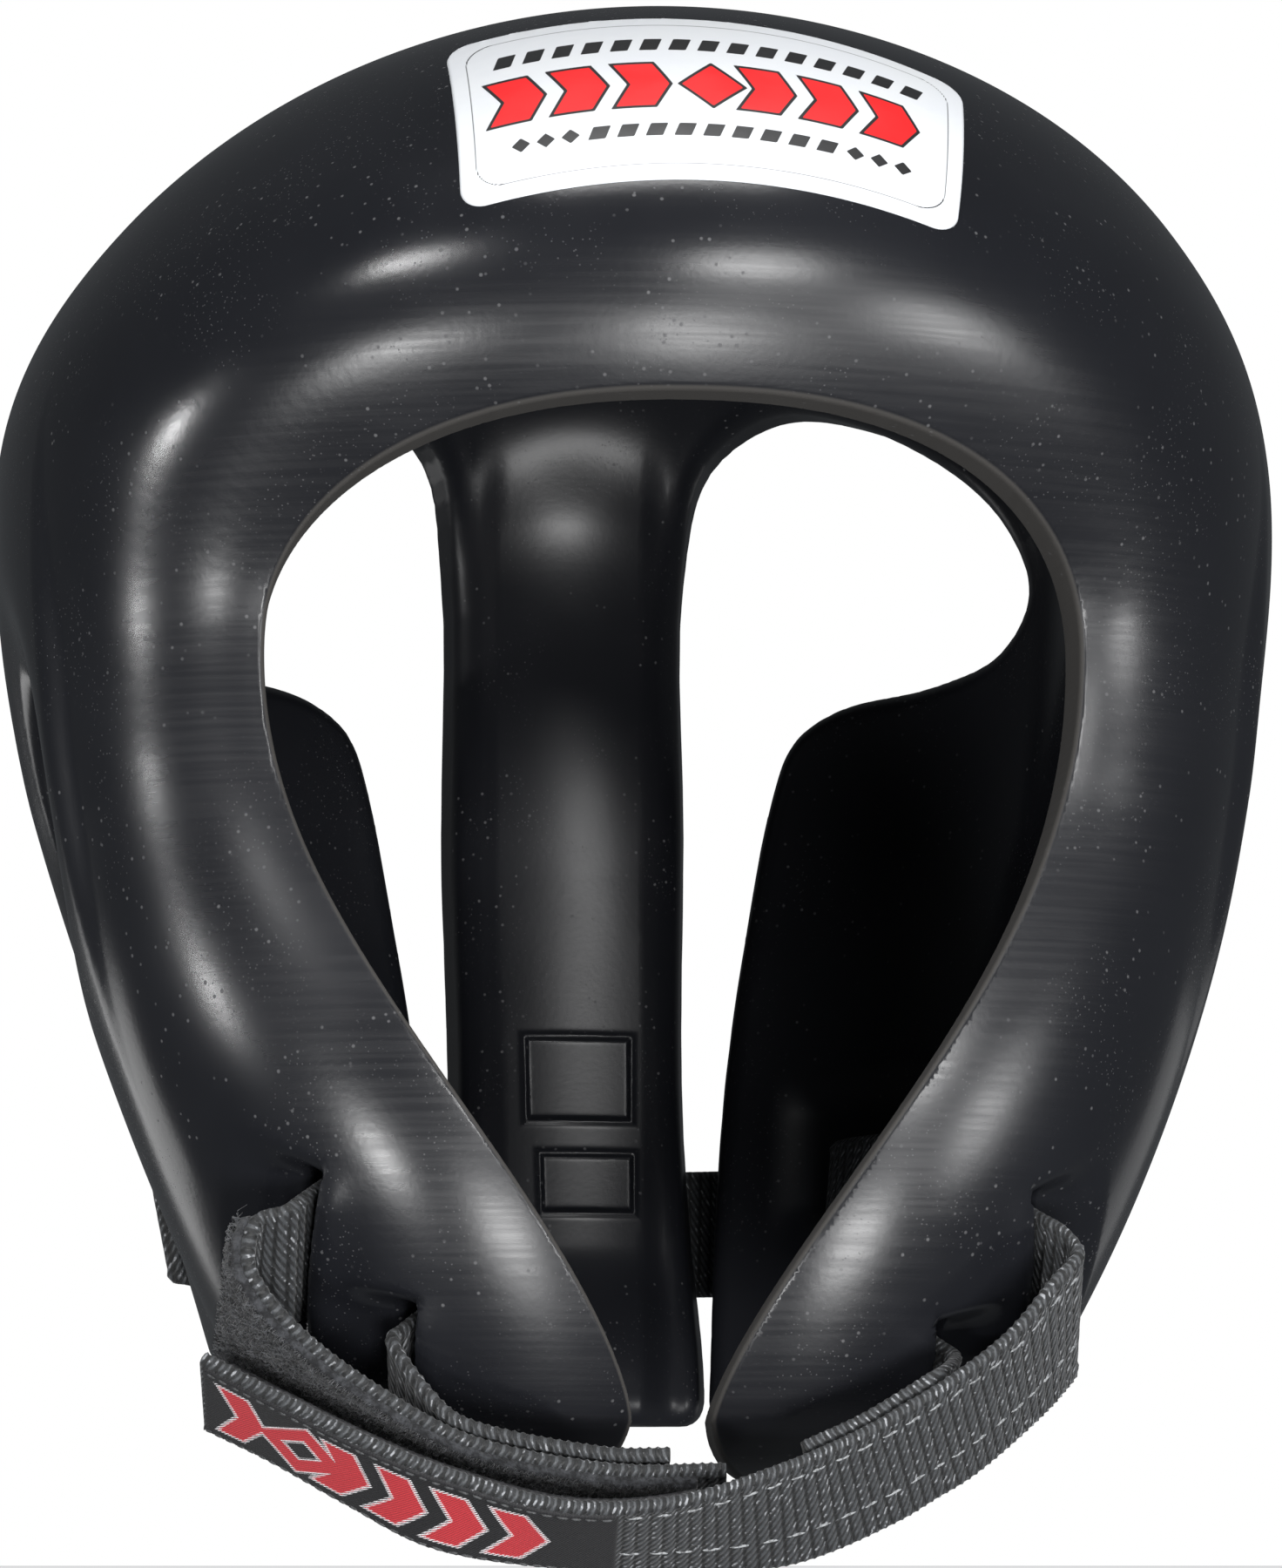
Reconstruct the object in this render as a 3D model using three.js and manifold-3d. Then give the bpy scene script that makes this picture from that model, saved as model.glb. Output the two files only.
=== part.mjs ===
// Boxing and kickboxing head guard: a one-piece moulded foam shell, a forehead label, and two
// hook-and-loop webbing closures (under the chin and behind the neck), each looped round a bar.
// Millimetres, +Z up, the face looks along -Y, +X is to the right of someone looking at the face.
// The origin is the centre of the head cavity at the hat line, where the head is widest.
import * as THREE from 'three';
import Module from 'manifold-3d';

// ---------- driving dimensions ----------
const SKIN = {
  halfWidth: 115, front: 122, back: 114, crown: 94.3,
  sideDrop: 205, backDrop: 288,
};
// The lower back is narrower than the cheeks, and the soft crown sits a little to the right.
const TAPER = { amount: 0.36, fromZ: -20, toZ: -140, fromY: -57, toY: 24 };
const LEAN = { shift: 4.1, fromZ: 10, toZ: 90 };
const SKIN_CENTRE = new THREE.Vector3(0, 0, -30);
const SKIN_SEGMENTS = { around: 52, down: 38 };
const WALL = { side: 29, front: 25, back: 15, crown: 20, cheek: 18, rim: 12 };
const ROLL = { edge: 8, width: 30 };

const FACE = {
  eyeLevel: -32, halfWidth: 69, browRise: 38, browPower: 2.4,
  chinDrop: 128, chinGap: 6.5, chinPower: 1.4,
};
const NECK = { sides: -150, chin: -170.5, chinY: -45, sideY: -8, nape: -157, napeY: 52, napeHalfWidth: 24 };
const EAR = { y: -10, z: -50, halfY: 15, halfZ: 21 };

// Rear window, right side: arc length round the back (mm from the back's centre line) and height.
// That centre line itself lies a little to the left, because the soft shell is slightly twisted.
const WINDOW_RADIUS = 95;
const WINDOW_SHIFT = -2.5;
const WINDOW = [
  [24, -190], [24, -150], [22, -110], [21.5, -40], [21.5, 12], [27, 33], [42, 41.5], [61, 38],
  [79, 27], [89, 15], [93, 2], [86, -8], [71, -13], [52, -16], [43, -22], [38.5, -34], [34, -60],
  [30.5, -90], [28.5, -120], [27.5, -150], [27.5, -190],
];

const WEBBING = { width: 25, thickness: 1.8 };
const TAPE = { width: 23, pile: 2.0, hook: 1.4, gap: 0.3 };
const TAB_LABEL = { thickness: 0.6, width: 22.5 };
const SLOT = { length: 33, gap: 5, depth: 70 };
const HINGE = { gap: 0.5 };
const FOLD_HEIGHT = 4.5;
const LEG_HEIGHT = 2.2;
const STATIONS_PER_POINT = 4;

// Chin strap slots on the right cheek: centre on the skin; the far slot is the one nearer the ear.
const CHIN_OUT = new THREE.Vector3(0.63, -0.6, -0.49).normalize();
const CHIN_FAR = { centre: new THREE.Vector3(62, -61, -135), along: new THREE.Vector3(0, 0.6, -0.8) };
const CHIN_NEAR = { centre: new THREE.Vector3(44.5, -60, -156.5), along: new THREE.Vector3(-0.08, 0.6, -0.8) };
// The two cheeks hang a little unevenly while the strap is done up.
const CHEEK_SHIFT = { right: -0.5, left: 2.5 };

// Rear strap slots on the right lobe: angle from the centre line at the back.
const REAR = { top: -106, bottom: -131, farAngle: 52, nearAngle: 33, length: 28 };

const LABEL = {
  left: -39, rightBottom: 42.6, rightTop: 49, bottomLeft: 35, bottomMid: 40, bottomRight: 33,
  topLeft: 73, topMid: 78.5, topRight: 66, lift: 0.45, thickness: 0.5,
};

const COLOURS = {
  foam: 0x17181c, vinyl: 0xf2f2f2, webbing: 0x2b2d30, pile: 0x1b1c1f, hook: 0x202124, woven: 0x161618,
};

// ---------- small helpers ----------
const manifoldModule = await Module();
manifoldModule.setup();
const { Manifold, Mesh } = manifoldModule;
const vec = (x, y, z) => new THREE.Vector3(x, y, z);
const mix = (a, b, t) => a + (b - a) * t;
const mirrored = (v) => vec(-v.x, v.y, v.z);

function smooth(from, to, x) {
  const t = Math.min(Math.max((x - from) / (to - from), 0), 1);
  return t * t * (3 - 2 * t);
}

function smoothMin(a, b, radius) {
  const h = Math.max(radius - Math.abs(a - b), 0) / radius;
  return Math.min(a, b) - (h * h * radius) / 4;
}

// A closed geometry from its points and triangles.
function closedGeometry(points, triangles) {
  const geometry = new THREE.BufferGeometry();
  const flat = points.flatMap((p) => [p.x, p.y, p.z]);
  geometry.setAttribute('position', new THREE.Float32BufferAttribute(flat, 3));
  geometry.setIndex(triangles.flat());
  return geometry;
}

// Weld equal points so that a geometry becomes a manifold solid.
function toManifold(geometry) {
  const position = geometry.getAttribute('position');
  const index = geometry.getIndex();
  const count = index ? index.count : position.count;
  const seen = new Map();
  const verts = [];
  const tris = [];
  for (let i = 0; i < count; i += 1) {
    const v = index ? index.getX(i) : i;
    const p = [position.getX(v), position.getY(v), position.getZ(v)];
    const key = p.map((value) => Math.round(value * 1e4)).join(',');
    if (!seen.has(key)) {
      seen.set(key, verts.length / 3);
      verts.push(...p);
    }
    tris.push(seen.get(key));
  }
  const kept = [];
  for (let i = 0; i < tris.length; i += 3) {
    const [a, b, c] = tris.slice(i, i + 3);
    if (a !== b && b !== c && a !== c) kept.push(a, b, c);
  }
  const mesh = new Mesh({
    numProp: 3,
    vertProperties: new Float32Array(verts),
    triVerts: new Uint32Array(kept),
  });
  const solid = new Manifold(mesh);
  return solid.volume() < 0 ? flipped(verts, kept) : solid;
}

function flipped(verts, tris) {
  const turned = [];
  for (let i = 0; i < tris.length; i += 3) turned.push(tris[i], tris[i + 2], tris[i + 1]);
  return new Manifold(new Mesh({
    numProp: 3,
    vertProperties: new Float32Array(verts),
    triVerts: new Uint32Array(turned),
  }));
}

function fromManifold(solid) {
  const mesh = solid.getMesh();
  const geometry = new THREE.BufferGeometry();
  geometry.setAttribute('position', new THREE.Float32BufferAttribute(mesh.vertProperties, 3));
  geometry.setIndex(new THREE.BufferAttribute(mesh.triVerts, 1));
  geometry.computeVertexNormals();
  return geometry;
}

const group = new THREE.Group();

function addPart(name, geometry, colour, roughness) {
  const material = new THREE.MeshStandardMaterial({ color: colour, roughness });
  const mesh = new THREE.Mesh(geometry, material);
  mesh.name = name;
  group.add(mesh);
}

// ---------- the foam shell's skins ----------
// Zero on the outer skin, negative inside: an ellipsoid whose depth front and back and whose
// drop above and below the hat line all differ and blend into each other.
function skinLevel(p) {
  const backWeight = smooth(-50, 50, p.y);
  const upWeight = smooth(-50, 50, p.z);
  const drop = mix(SKIN.sideDrop, SKIN.backDrop, smooth(0, 70, p.y));
  const x = p.x - LEAN.shift * smooth(LEAN.fromZ, LEAN.toZ, p.z);
  const taper = 1 + TAPER.amount * smooth(TAPER.fromZ, TAPER.toZ, p.z) * smooth(TAPER.fromY, TAPER.toY, p.y);
  const widthTerm = taper / SKIN.halfWidth ** 2;
  const depthTerm = mix(1 / SKIN.front ** 2, 1 / SKIN.back ** 2, backWeight);
  const heightTerm = mix(1 / drop ** 2, 1 / SKIN.crown ** 2, upWeight);
  return Math.sqrt(x ** 2 * widthTerm + p.y ** 2 * depthTerm + p.z ** 2 * heightTerm) - 1;
}

// How far the outer skin lies from the skin centre along a unit direction.
function skinRadius(direction) {
  let low = 20;
  let high = 280;
  for (let step = 0; step < 40; step += 1) {
    const middle = (low + high) / 2;
    const p = SKIN_CENTRE.clone().addScaledVector(direction, middle);
    if (skinLevel(p) < 0) low = middle;
    else high = middle;
  }
  return (low + high) / 2;
}

function wallAt(p) {
  const sideward = Math.min(Math.abs(p.x) / SKIN.halfWidth, 1);
  let wall = mix(WALL.front, WALL.side, sideward * sideward);
  wall = mix(wall, WALL.crown, smooth(20, 85, p.z));
  const lower = mix(WALL.rim, WALL.cheek, smooth(0, -50, p.y));
  wall = mix(wall, lower, smooth(-60, -140, p.z));
  return mix(wall, WALL.back, smooth(15, 65, p.y));
}

// Half the width of the face opening at a height.
function faceHalfWidth(z) {
  if (z >= FACE.eyeLevel) {
    const rise = Math.min((z - FACE.eyeLevel) / FACE.browRise, 1);
    return FACE.halfWidth * (1 - rise ** FACE.browPower) ** (1 / FACE.browPower);
  }
  const drop = Math.min((FACE.eyeLevel - z) / FACE.chinDrop, 1);
  const narrowing = Math.cos((Math.PI / 2) * drop) ** FACE.chinPower;
  return FACE.chinGap + (FACE.halfWidth - FACE.chinGap) * narrowing;
}

// The right half of the face opening from the brow down to below the chin.
function faceHalfOutline(steps) {
  const points = [];
  for (let i = 1; i <= steps; i += 1) {
    const turn = (Math.PI / 2) * (i / steps);
    const z = FACE.eyeLevel + FACE.browRise * Math.cos(turn) ** (2 / FACE.browPower);
    points.push(new THREE.Vector2(faceHalfWidth(z), z));
  }
  for (let i = 1; i <= steps; i += 1) {
    const z = FACE.eyeLevel - (FACE.chinDrop * i) / steps;
    points.push(new THREE.Vector2(faceHalfWidth(z), z));
  }
  points.push(new THREE.Vector2(FACE.chinGap, -200));
  return points;
}

const FACE_EDGE = [new THREE.Vector2(0, FACE.eyeLevel + FACE.browRise), ...faceHalfOutline(14)];

// Distance outside the face opening's edge, seen from the front; zero inside the opening.
function distanceToFaceEdge(x, z) {
  const p = new THREE.Vector2(Math.abs(x), z);
  const underBrow = z < FACE.eyeLevel + FACE.browRise;
  if (underBrow && p.x < faceHalfWidth(z)) return 0;
  let nearest = Infinity;
  for (let i = 1; i < FACE_EDGE.length; i += 1) {
    const start = FACE_EDGE[i - 1];
    const span = FACE_EDGE[i].clone().sub(start);
    const t = Math.min(Math.max(p.clone().sub(start).dot(span) / span.lengthSq(), 0), 1);
    nearest = Math.min(nearest, p.distanceTo(start.clone().addScaledVector(span, t)));
  }
  return nearest;
}

// The outer skin rolls down to a thin edge round the face opening.
function rolledRadius(direction) {
  const full = skinRadius(direction);
  const onSkin = SKIN_CENTRE.clone().addScaledVector(direction, full);
  const wall = wallAt(onSkin);
  if (onSkin.y > -20) return full;
  const reach = Math.min(distanceToFaceEdge(onSkin.x, onSkin.z) / ROLL.width, 1);
  const rolled = mix(ROLL.edge, wall + 4, 1 - (1 - reach) ** 2.2);
  const fade = smooth(-20, -45, onSkin.y);
  return mix(full, smoothMin(full, full - wall + rolled, 6), fade);
}

function skinSolid(radiusAt) {
  const sphere = new THREE.SphereGeometry(1, SKIN_SEGMENTS.around, SKIN_SEGMENTS.down);
  sphere.rotateX(Math.PI / 2);
  const position = sphere.getAttribute('position');
  for (let i = 0; i < position.count; i += 1) {
    const direction = new THREE.Vector3().fromBufferAttribute(position, i).normalize();
    const p = SKIN_CENTRE.clone().addScaledVector(direction, radiusAt(direction));
    position.setXYZ(i, p.x, p.y, p.z);
  }
  return toManifold(sphere);
}

function innerRadius(direction) {
  const full = skinRadius(direction);
  return full - wallAt(SKIN_CENTRE.clone().addScaledVector(direction, full));
}

// ---------- cutters ----------
function prism(outline, depth) {
  return new THREE.ExtrudeGeometry(new THREE.Shape(outline), { depth, bevelEnabled: false });
}

function faceCutter() {
  const right = faceHalfOutline(14);
  const left = right.map((p) => new THREE.Vector2(-p.x, p.y)).reverse();
  const brow = new THREE.Vector2(0, FACE.eyeLevel + FACE.browRise);
  const cutter = prism([brow, ...right, ...left], 160);
  cutter.rotateX(Math.PI / 2);
  cutter.translate(0, -10, 0);
  return toManifold(cutter);
}

// A rear window: the outline is bent round the Z axis, so its walls run radially.
function windowCutter(side) {
  const curve = new THREE.CatmullRomCurve3(WINDOW.map(([s, z]) => vec(s, z, 0)), false, 'centripetal');
  const outline = curve.getPoints(54).map((p) => new THREE.Vector2(p.x, p.y));
  const cutter = prism(outline, 150);
  const position = cutter.getAttribute('position');
  for (let i = 0; i < position.count; i += 1) {
    const angle = (side * position.getX(i) + WINDOW_SHIFT) / WINDOW_RADIUS;
    const radius = 30 + position.getZ(i);
    position.setXYZ(i, radius * Math.sin(angle), radius * Math.cos(angle), position.getY(i));
  }
  return toManifold(cutter);
}

// Everything under the neck opening, drawn as a side view and extruded across.
function neckCutter() {
  const side = [[-150, NECK.chin], [NECK.chinY, NECK.chin]];
  for (let i = 1; i <= 6; i += 1) {
    const t = i / 6;
    side.push([mix(NECK.chinY, NECK.sideY, t), mix(NECK.chin, NECK.sides, smooth(0, 1, t))]);
  }
  side.push([150, NECK.sides], [150, -260], [-150, -260]);
  const below = prism(side.map(([y, z]) => new THREE.Vector2(y, z)), 400);
  below.applyMatrix4(new THREE.Matrix4().makeBasis(vec(0, 1, 0), vec(0, 0, 1), vec(1, 0, 0)));
  below.translate(-200, 0, 0);
  const nape = new THREE.BoxGeometry(2 * NECK.napeHalfWidth, 80, NECK.sides - NECK.nape);
  nape.translate(0, NECK.napeY + 40, (NECK.sides + NECK.nape) / 2);
  return toManifold(below).subtract(toManifold(nape));
}

function earCutter(side) {
  const oval = new THREE.Shape().absellipse(EAR.y, EAR.z, EAR.halfY, EAR.halfZ, 0, 2 * Math.PI);
  const cutter = prism(oval.getPoints(7).slice(0, -1), 90);
  cutter.applyMatrix4(new THREE.Matrix4().makeBasis(vec(0, 1, 0), vec(0, 0, 1), vec(1, 0, 0)));
  cutter.translate(side > 0 ? 55 : -145, 0, 0);
  return toManifold(cutter);
}

// A strap slot: a flat round-ended hole through the wall.
function slotCutter(slot) {
  const half = slot.length / 2 - SLOT.gap / 2;
  const shape = new THREE.Shape();
  shape.absarc(half, 0, SLOT.gap / 2, -Math.PI / 2, Math.PI / 2);
  shape.absarc(-half, 0, SLOT.gap / 2, Math.PI / 2, (3 * Math.PI) / 2);
  const cutter = prism(shape.getPoints(4), SLOT.depth);
  cutter.translate(0, 0, -SLOT.depth / 2 - 8);
  const across = slot.out.clone().cross(slot.along).normalize();
  cutter.applyMatrix4(new THREE.Matrix4().makeBasis(slot.along, across, slot.out));
  cutter.translate(slot.centre.x, slot.centre.y, slot.centre.z);
  return toManifold(cutter);
}

// ---------- slots ----------
// A slot as a frame on the skin: centre, direction along it and direction out of the wall.
function chinSlot(base, side) {
  const shift = side > 0 ? CHEEK_SHIFT.right : CHEEK_SHIFT.left;
  const along = base.along.clone().normalize();
  const out = CHIN_OUT.clone().addScaledVector(along, -CHIN_OUT.dot(along)).normalize();
  const centre = base.centre.clone().addScaledVector(along, -shift);
  const turn = side > 0 ? (v) => v.clone() : mirrored;
  return { centre: turn(centre), along: turn(along), out: turn(out), length: SLOT.length };
}

// A point on the outer skin at an angle from the back's centre line, and a height.
function rearPoint(angleDegrees, z, lift) {
  const angle = THREE.MathUtils.degToRad(angleDegrees);
  const outward = vec(Math.sin(angle), Math.cos(angle), 0);
  let low = 40;
  let high = 140;
  for (let step = 0; step < 40; step += 1) {
    const middle = (low + high) / 2;
    if (skinLevel(vec(outward.x * middle, outward.y * middle, z)) < 0) low = middle;
    else high = middle;
  }
  const radius = (low + high) / 2 + lift;
  return vec(outward.x * radius, outward.y * radius, z);
}

function rearSlot(angleDegrees, side) {
  const top = rearPoint(side * angleDegrees, REAR.top, 0);
  const bottom = rearPoint(side * angleDegrees, REAR.bottom, 0);
  const along = bottom.clone().sub(top).normalize();
  const angle = THREE.MathUtils.degToRad(side * angleDegrees);
  const radial = vec(Math.sin(angle), Math.cos(angle), 0);
  const out = radial.addScaledVector(along, -radial.dot(along)).normalize();
  return { centre: top.add(bottom).multiplyScalar(0.5), along, out, length: REAR.length };
}

// ---------- webbing ----------
// A pair of rails is a strap's two edges. Cross-sections between them carry thickness.
function railCurves(rails) {
  const [first, second] = rails.map((rail) => new THREE.CatmullRomCurve3(rail, false, 'centripetal'));
  return { first, second };
}

// A flat band between two rails, shifted off the rails' surface and with its width drawn in
// equally at both edges. Each rail is divided at whole stations, so that a tape from one
// station to another lies parallel to its webbing all along; only the two ends may fall between.
function band(rails, { from, to, lift = 0, thickness, width = WEBBING.width }) {
  const { first, second } = railCurves(rails);
  const last = (rails[0].length - 1) * STATIONS_PER_POINT;
  const stations = [from];
  for (let i = Math.floor(from) + 1; i < to; i += 1) stations.push(i);
  stations.push(to);
  const points = [];
  for (const station of stations) {
    const t = station / last;
    const a = first.getPoint(t);
    const b = second.getPoint(t);
    const along = first.getTangent(t).add(second.getTangent(t)).normalize();
    const across = b.clone().sub(a);
    const out = across.clone().cross(along).normalize();
    const middle = a.clone().add(b).multiplyScalar(0.5);
    const half = (0.5 * width) / WEBBING.width;
    for (const [edge, face] of [[-1, -1], [1, -1], [1, 1], [-1, 1]]) {
      const p = middle.clone().addScaledVector(across, edge * half);
      points.push(p.addScaledVector(out, lift + (face * thickness) / 2));
    }
  }
  const triangles = [[0, 2, 1], [0, 3, 2]];
  const steps = stations.length - 1;
  for (let i = 0; i < steps; i += 1) {
    for (let k = 0; k < 4; k += 1) {
      const a = 4 * i + k;
      const b = 4 * i + ((k + 1) % 4);
      // The upper face is split along the same diagonal as the lower one.
      if (k === 2) triangles.push([a, b, a + 4], [b, b + 4, a + 4]);
      else triangles.push([a, b, b + 4], [a, b + 4, a + 4]);
    }
  }
  const end = 4 * steps;
  triangles.push([end, end + 1, end + 2], [end, end + 2, end + 3]);
  return fromManifold(toManifold(closedGeometry(points, triangles)));
}

// The points of a webbing's two edges inside its slots: in through the near slot, along the
// inside of the wall and out of the far slot, ready to fold over the bar between them.
function slotPoints(far, near, wall, edge) {
  const offset = (edge * WEBBING.width) / 2;
  const onSlot = ([slot, depth]) => slot.centre.clone()
    .addScaledVector(slot.along, offset).addScaledVector(slot.out, depth);
  const between = ([t, depth]) => onSlot([near, depth]).lerp(onSlot([far, depth]), t);
  const inner = -wall - 0.5;
  return [
    ...[[near, LEG_HEIGHT], [near, 0], [near, -wall * 0.6], [near, inner]].map(onSlot),
    ...[[0.12, inner - 2.1], [0.5, inner - 3.1], [0.88, inner - 2.1]].map(between),
    ...[[far, inner], [far, -wall * 0.6], [far, 0], [far, FOLD_HEIGHT]].map(onSlot),
  ];
}

const asPoints = (stations) => stations.map((station) => station.map((p) => vec(...p)));

// Upper and lower edge of each strap, from the fold at its far slot to its free end, and of
// its return leg, from the near slot to its end. The hinge is one of the points of each.
const CHIN_RIGHT = asPoints([
  [[66.5, -75.5, -131.5], [69, -54, -151]],
  [[62, -78.5, -136.5], [66, -58, -155]],
  [[54, -81, -145.5], [60, -61, -160.5]],
  [[43, -83, -153.5], [50, -64, -168.5]],
  [[36.5, -84, -157.3], [43.5, -65.2, -172.3]],
  [[30, -85, -161], [37, -66.5, -176]],
  [[15, -87.5, -167.5], [19, -68, -183]],
  [[-3, -89, -173], [-1, -66.5, -184]],
  [[-20, -89, -173.6], [-19, -66.5, -183.2]],
  [[-39, -87.5, -168.4], [-40, -65, -180]],
  [[-51.4, -85, -163.5], [-53.4, -62, -173]],
  [[-64.4, -80, -157], [-65.4, -56.5, -166]],
  [[-78, -72, -149.5], [-76.4, -50, -160.5]],
]);
const CHIN_RIGHT_LEG = asPoints([
  [[41.3, -81.2, -152], [48.3, -62.2, -167]],
  [[35.3, -82.3, -155.7], [42.3, -63.6, -170.7]],
  [[29, -83.4, -159.3], [36, -64.9, -174.3]],
  [[19, -85.2, -163.8], [23.5, -66, -179.3]],
]);
const CHIN_LEFT = asPoints([
  [[-69.5, -76, -127], [-71, -55.5, -145]],
  [[-71, -78, -133.5], [-72, -57, -149.5]],
  [[-68.5, -78.5, -139], [-69, -57.5, -153]],
  [[-61, -78.5, -147], [-62, -57.5, -158.5]],
  [[-49, -78.5, -155.5], [-49.5, -57, -167.5]],
  [[-35, -79, -162.8], [-34.5, -57.4, -175.8]],
  [[-12, -80, -167.5], [-11, -58, -178.5]],
  [[7, -80.5, -167.5], [9.5, -58.5, -178.5]],
]);
const CHIN_LEFT_LEG = asPoints([
  [[-39, -77.8, -157.9], [-39, -56.4, -171]],
  [[-34.3, -77.9, -160.5], [-33.8, -56.4, -173.6]],
  [[-12, -78.6, -164.9], [-11, -56.6, -175.9]],
  [[-2, -78.9, -165], [-0.5, -56.9, -176]],
]);

// Rear strap: angle from the back's centre line, and lift off the shell.
const REAR_OUTER = [
  [53, 8.8], [50.5, 9.6], [44, 7.8], [33, 5.6], [25, 5.3], [18, 8.4], [10, 10.3], [-8, 10.3], [-22, 10.3],
];
const REAR_INNER = [
  [53, 8], [50.5, 9.6], [44, 8.2], [33, 5.8], [25, 5.2], [18, 3.9], [8, 3.5], [-8, 3.5],
];
const REAR_LEG = [[31, 3], [28, 2.8], [25, 2.7], [21, 1.8]];
// Which point of a strap and of its leg is the hinge.
const HINGE_POINT = { chinRight: 4, chinRightLeg: 1, chinLeft: 5, chinLeftLeg: 1, rear: 4, rearLeg: 2 };

function rearStations(stations, side) {
  const point = (z) => ([angle, lift]) => rearPoint(side * angle, z, lift);
  return stations.map((station) => [point(REAR.top)(station), point(REAR.bottom)(station)]);
}

// ---------- forehead label ----------
// A thin patch lying on the outer skin between two arcs.
function labelGeometry() {
  const columns = 16;
  const rows = 6;
  const skinAt = (x, z, lift) => {
    let direction = vec(x, -100, z).sub(SKIN_CENTRE).normalize();
    let p = vec(x, -100, z);
    for (let pass = 0; pass < 12; pass += 1) {
      p = SKIN_CENTRE.clone().addScaledVector(direction, rolledRadius(direction));
      direction = vec(x, p.y, z).sub(SKIN_CENTRE).normalize();
    }
    return SKIN_CENTRE.clone().addScaledVector(direction, rolledRadius(direction) + lift);
  };
  const points = [];
  for (const lift of [LABEL.lift, LABEL.lift + LABEL.thickness]) {
    for (let j = 0; j <= rows; j += 1) {
      for (let i = 0; i <= columns; i += 1) {
        const u = (2 * i) / columns - 1;
        const v = j / rows;
        const bend = 1 - u * u;
        const bottom = mix(LABEL.bottomLeft, LABEL.bottomRight, i / columns)
          + (LABEL.bottomMid - (LABEL.bottomLeft + LABEL.bottomRight) / 2) * bend;
        const top = mix(LABEL.topLeft, LABEL.topRight, i / columns)
          + (LABEL.topMid - (LABEL.topLeft + LABEL.topRight) / 2) * bend;
        const right = mix(LABEL.rightBottom, LABEL.rightTop, v);
        points.push(skinAt(mix(LABEL.left, right, i / columns), mix(bottom, top, v), lift));
      }
    }
  }
  const layer = (columns + 1) * (rows + 1);
  const at = (i, j, k) => k * layer + j * (columns + 1) + i;
  const triangles = [];
  const quad = (a, b, c, d) => triangles.push([a, b, c], [a, c, d]);
  for (let j = 0; j < rows; j += 1) {
    for (let i = 0; i < columns; i += 1) {
      quad(at(i, j, 0), at(i, j + 1, 0), at(i + 1, j + 1, 0), at(i + 1, j, 0));
      quad(at(i, j, 1), at(i + 1, j, 1), at(i + 1, j + 1, 1), at(i, j + 1, 1));
    }
  }
  for (let i = 0; i < columns; i += 1) {
    quad(at(i, 0, 0), at(i + 1, 0, 0), at(i + 1, 0, 1), at(i, 0, 1));
    quad(at(i + 1, rows, 0), at(i, rows, 0), at(i, rows, 1), at(i + 1, rows, 1));
  }
  for (let j = 0; j < rows; j += 1) {
    quad(at(0, j + 1, 0), at(0, j, 0), at(0, j, 1), at(0, j + 1, 1));
    quad(at(columns, j, 0), at(columns, j + 1, 0), at(columns, j + 1, 1), at(columns, j, 1));
  }
  return fromManifold(toManifold(closedGeometry(points, triangles)));
}

// ---------- the shell ----------
const slots = {};
for (const [name, side] of [['right', 1], ['left', -1]]) {
  slots[name] = {
    chinFar: chinSlot(CHIN_FAR, side),
    chinNear: chinSlot(CHIN_NEAR, side),
    rearFar: rearSlot(REAR.farAngle, side),
    rearNear: rearSlot(REAR.nearAngle, side),
  };
}

function shellGeometry() {
  const cutters = [faceCutter(), neckCutter()];
  for (const [name, side] of [['right', 1], ['left', -1]]) {
    cutters.push(windowCutter(side), earCutter(side));
    cutters.push(...Object.values(slots[name]).map(slotCutter));
  }
  let shell = skinSolid(rolledRadius).subtract(skinSolid(innerRadius));
  for (const cutter of cutters) shell = shell.subtract(cutter);
  return fromManifold(shell);
}

addPart('guard_shell', shellGeometry(), COLOURS.foam, 0.35);
addPart('forehead_label', labelGeometry(), COLOURS.vinyl, 0.4);

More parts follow.
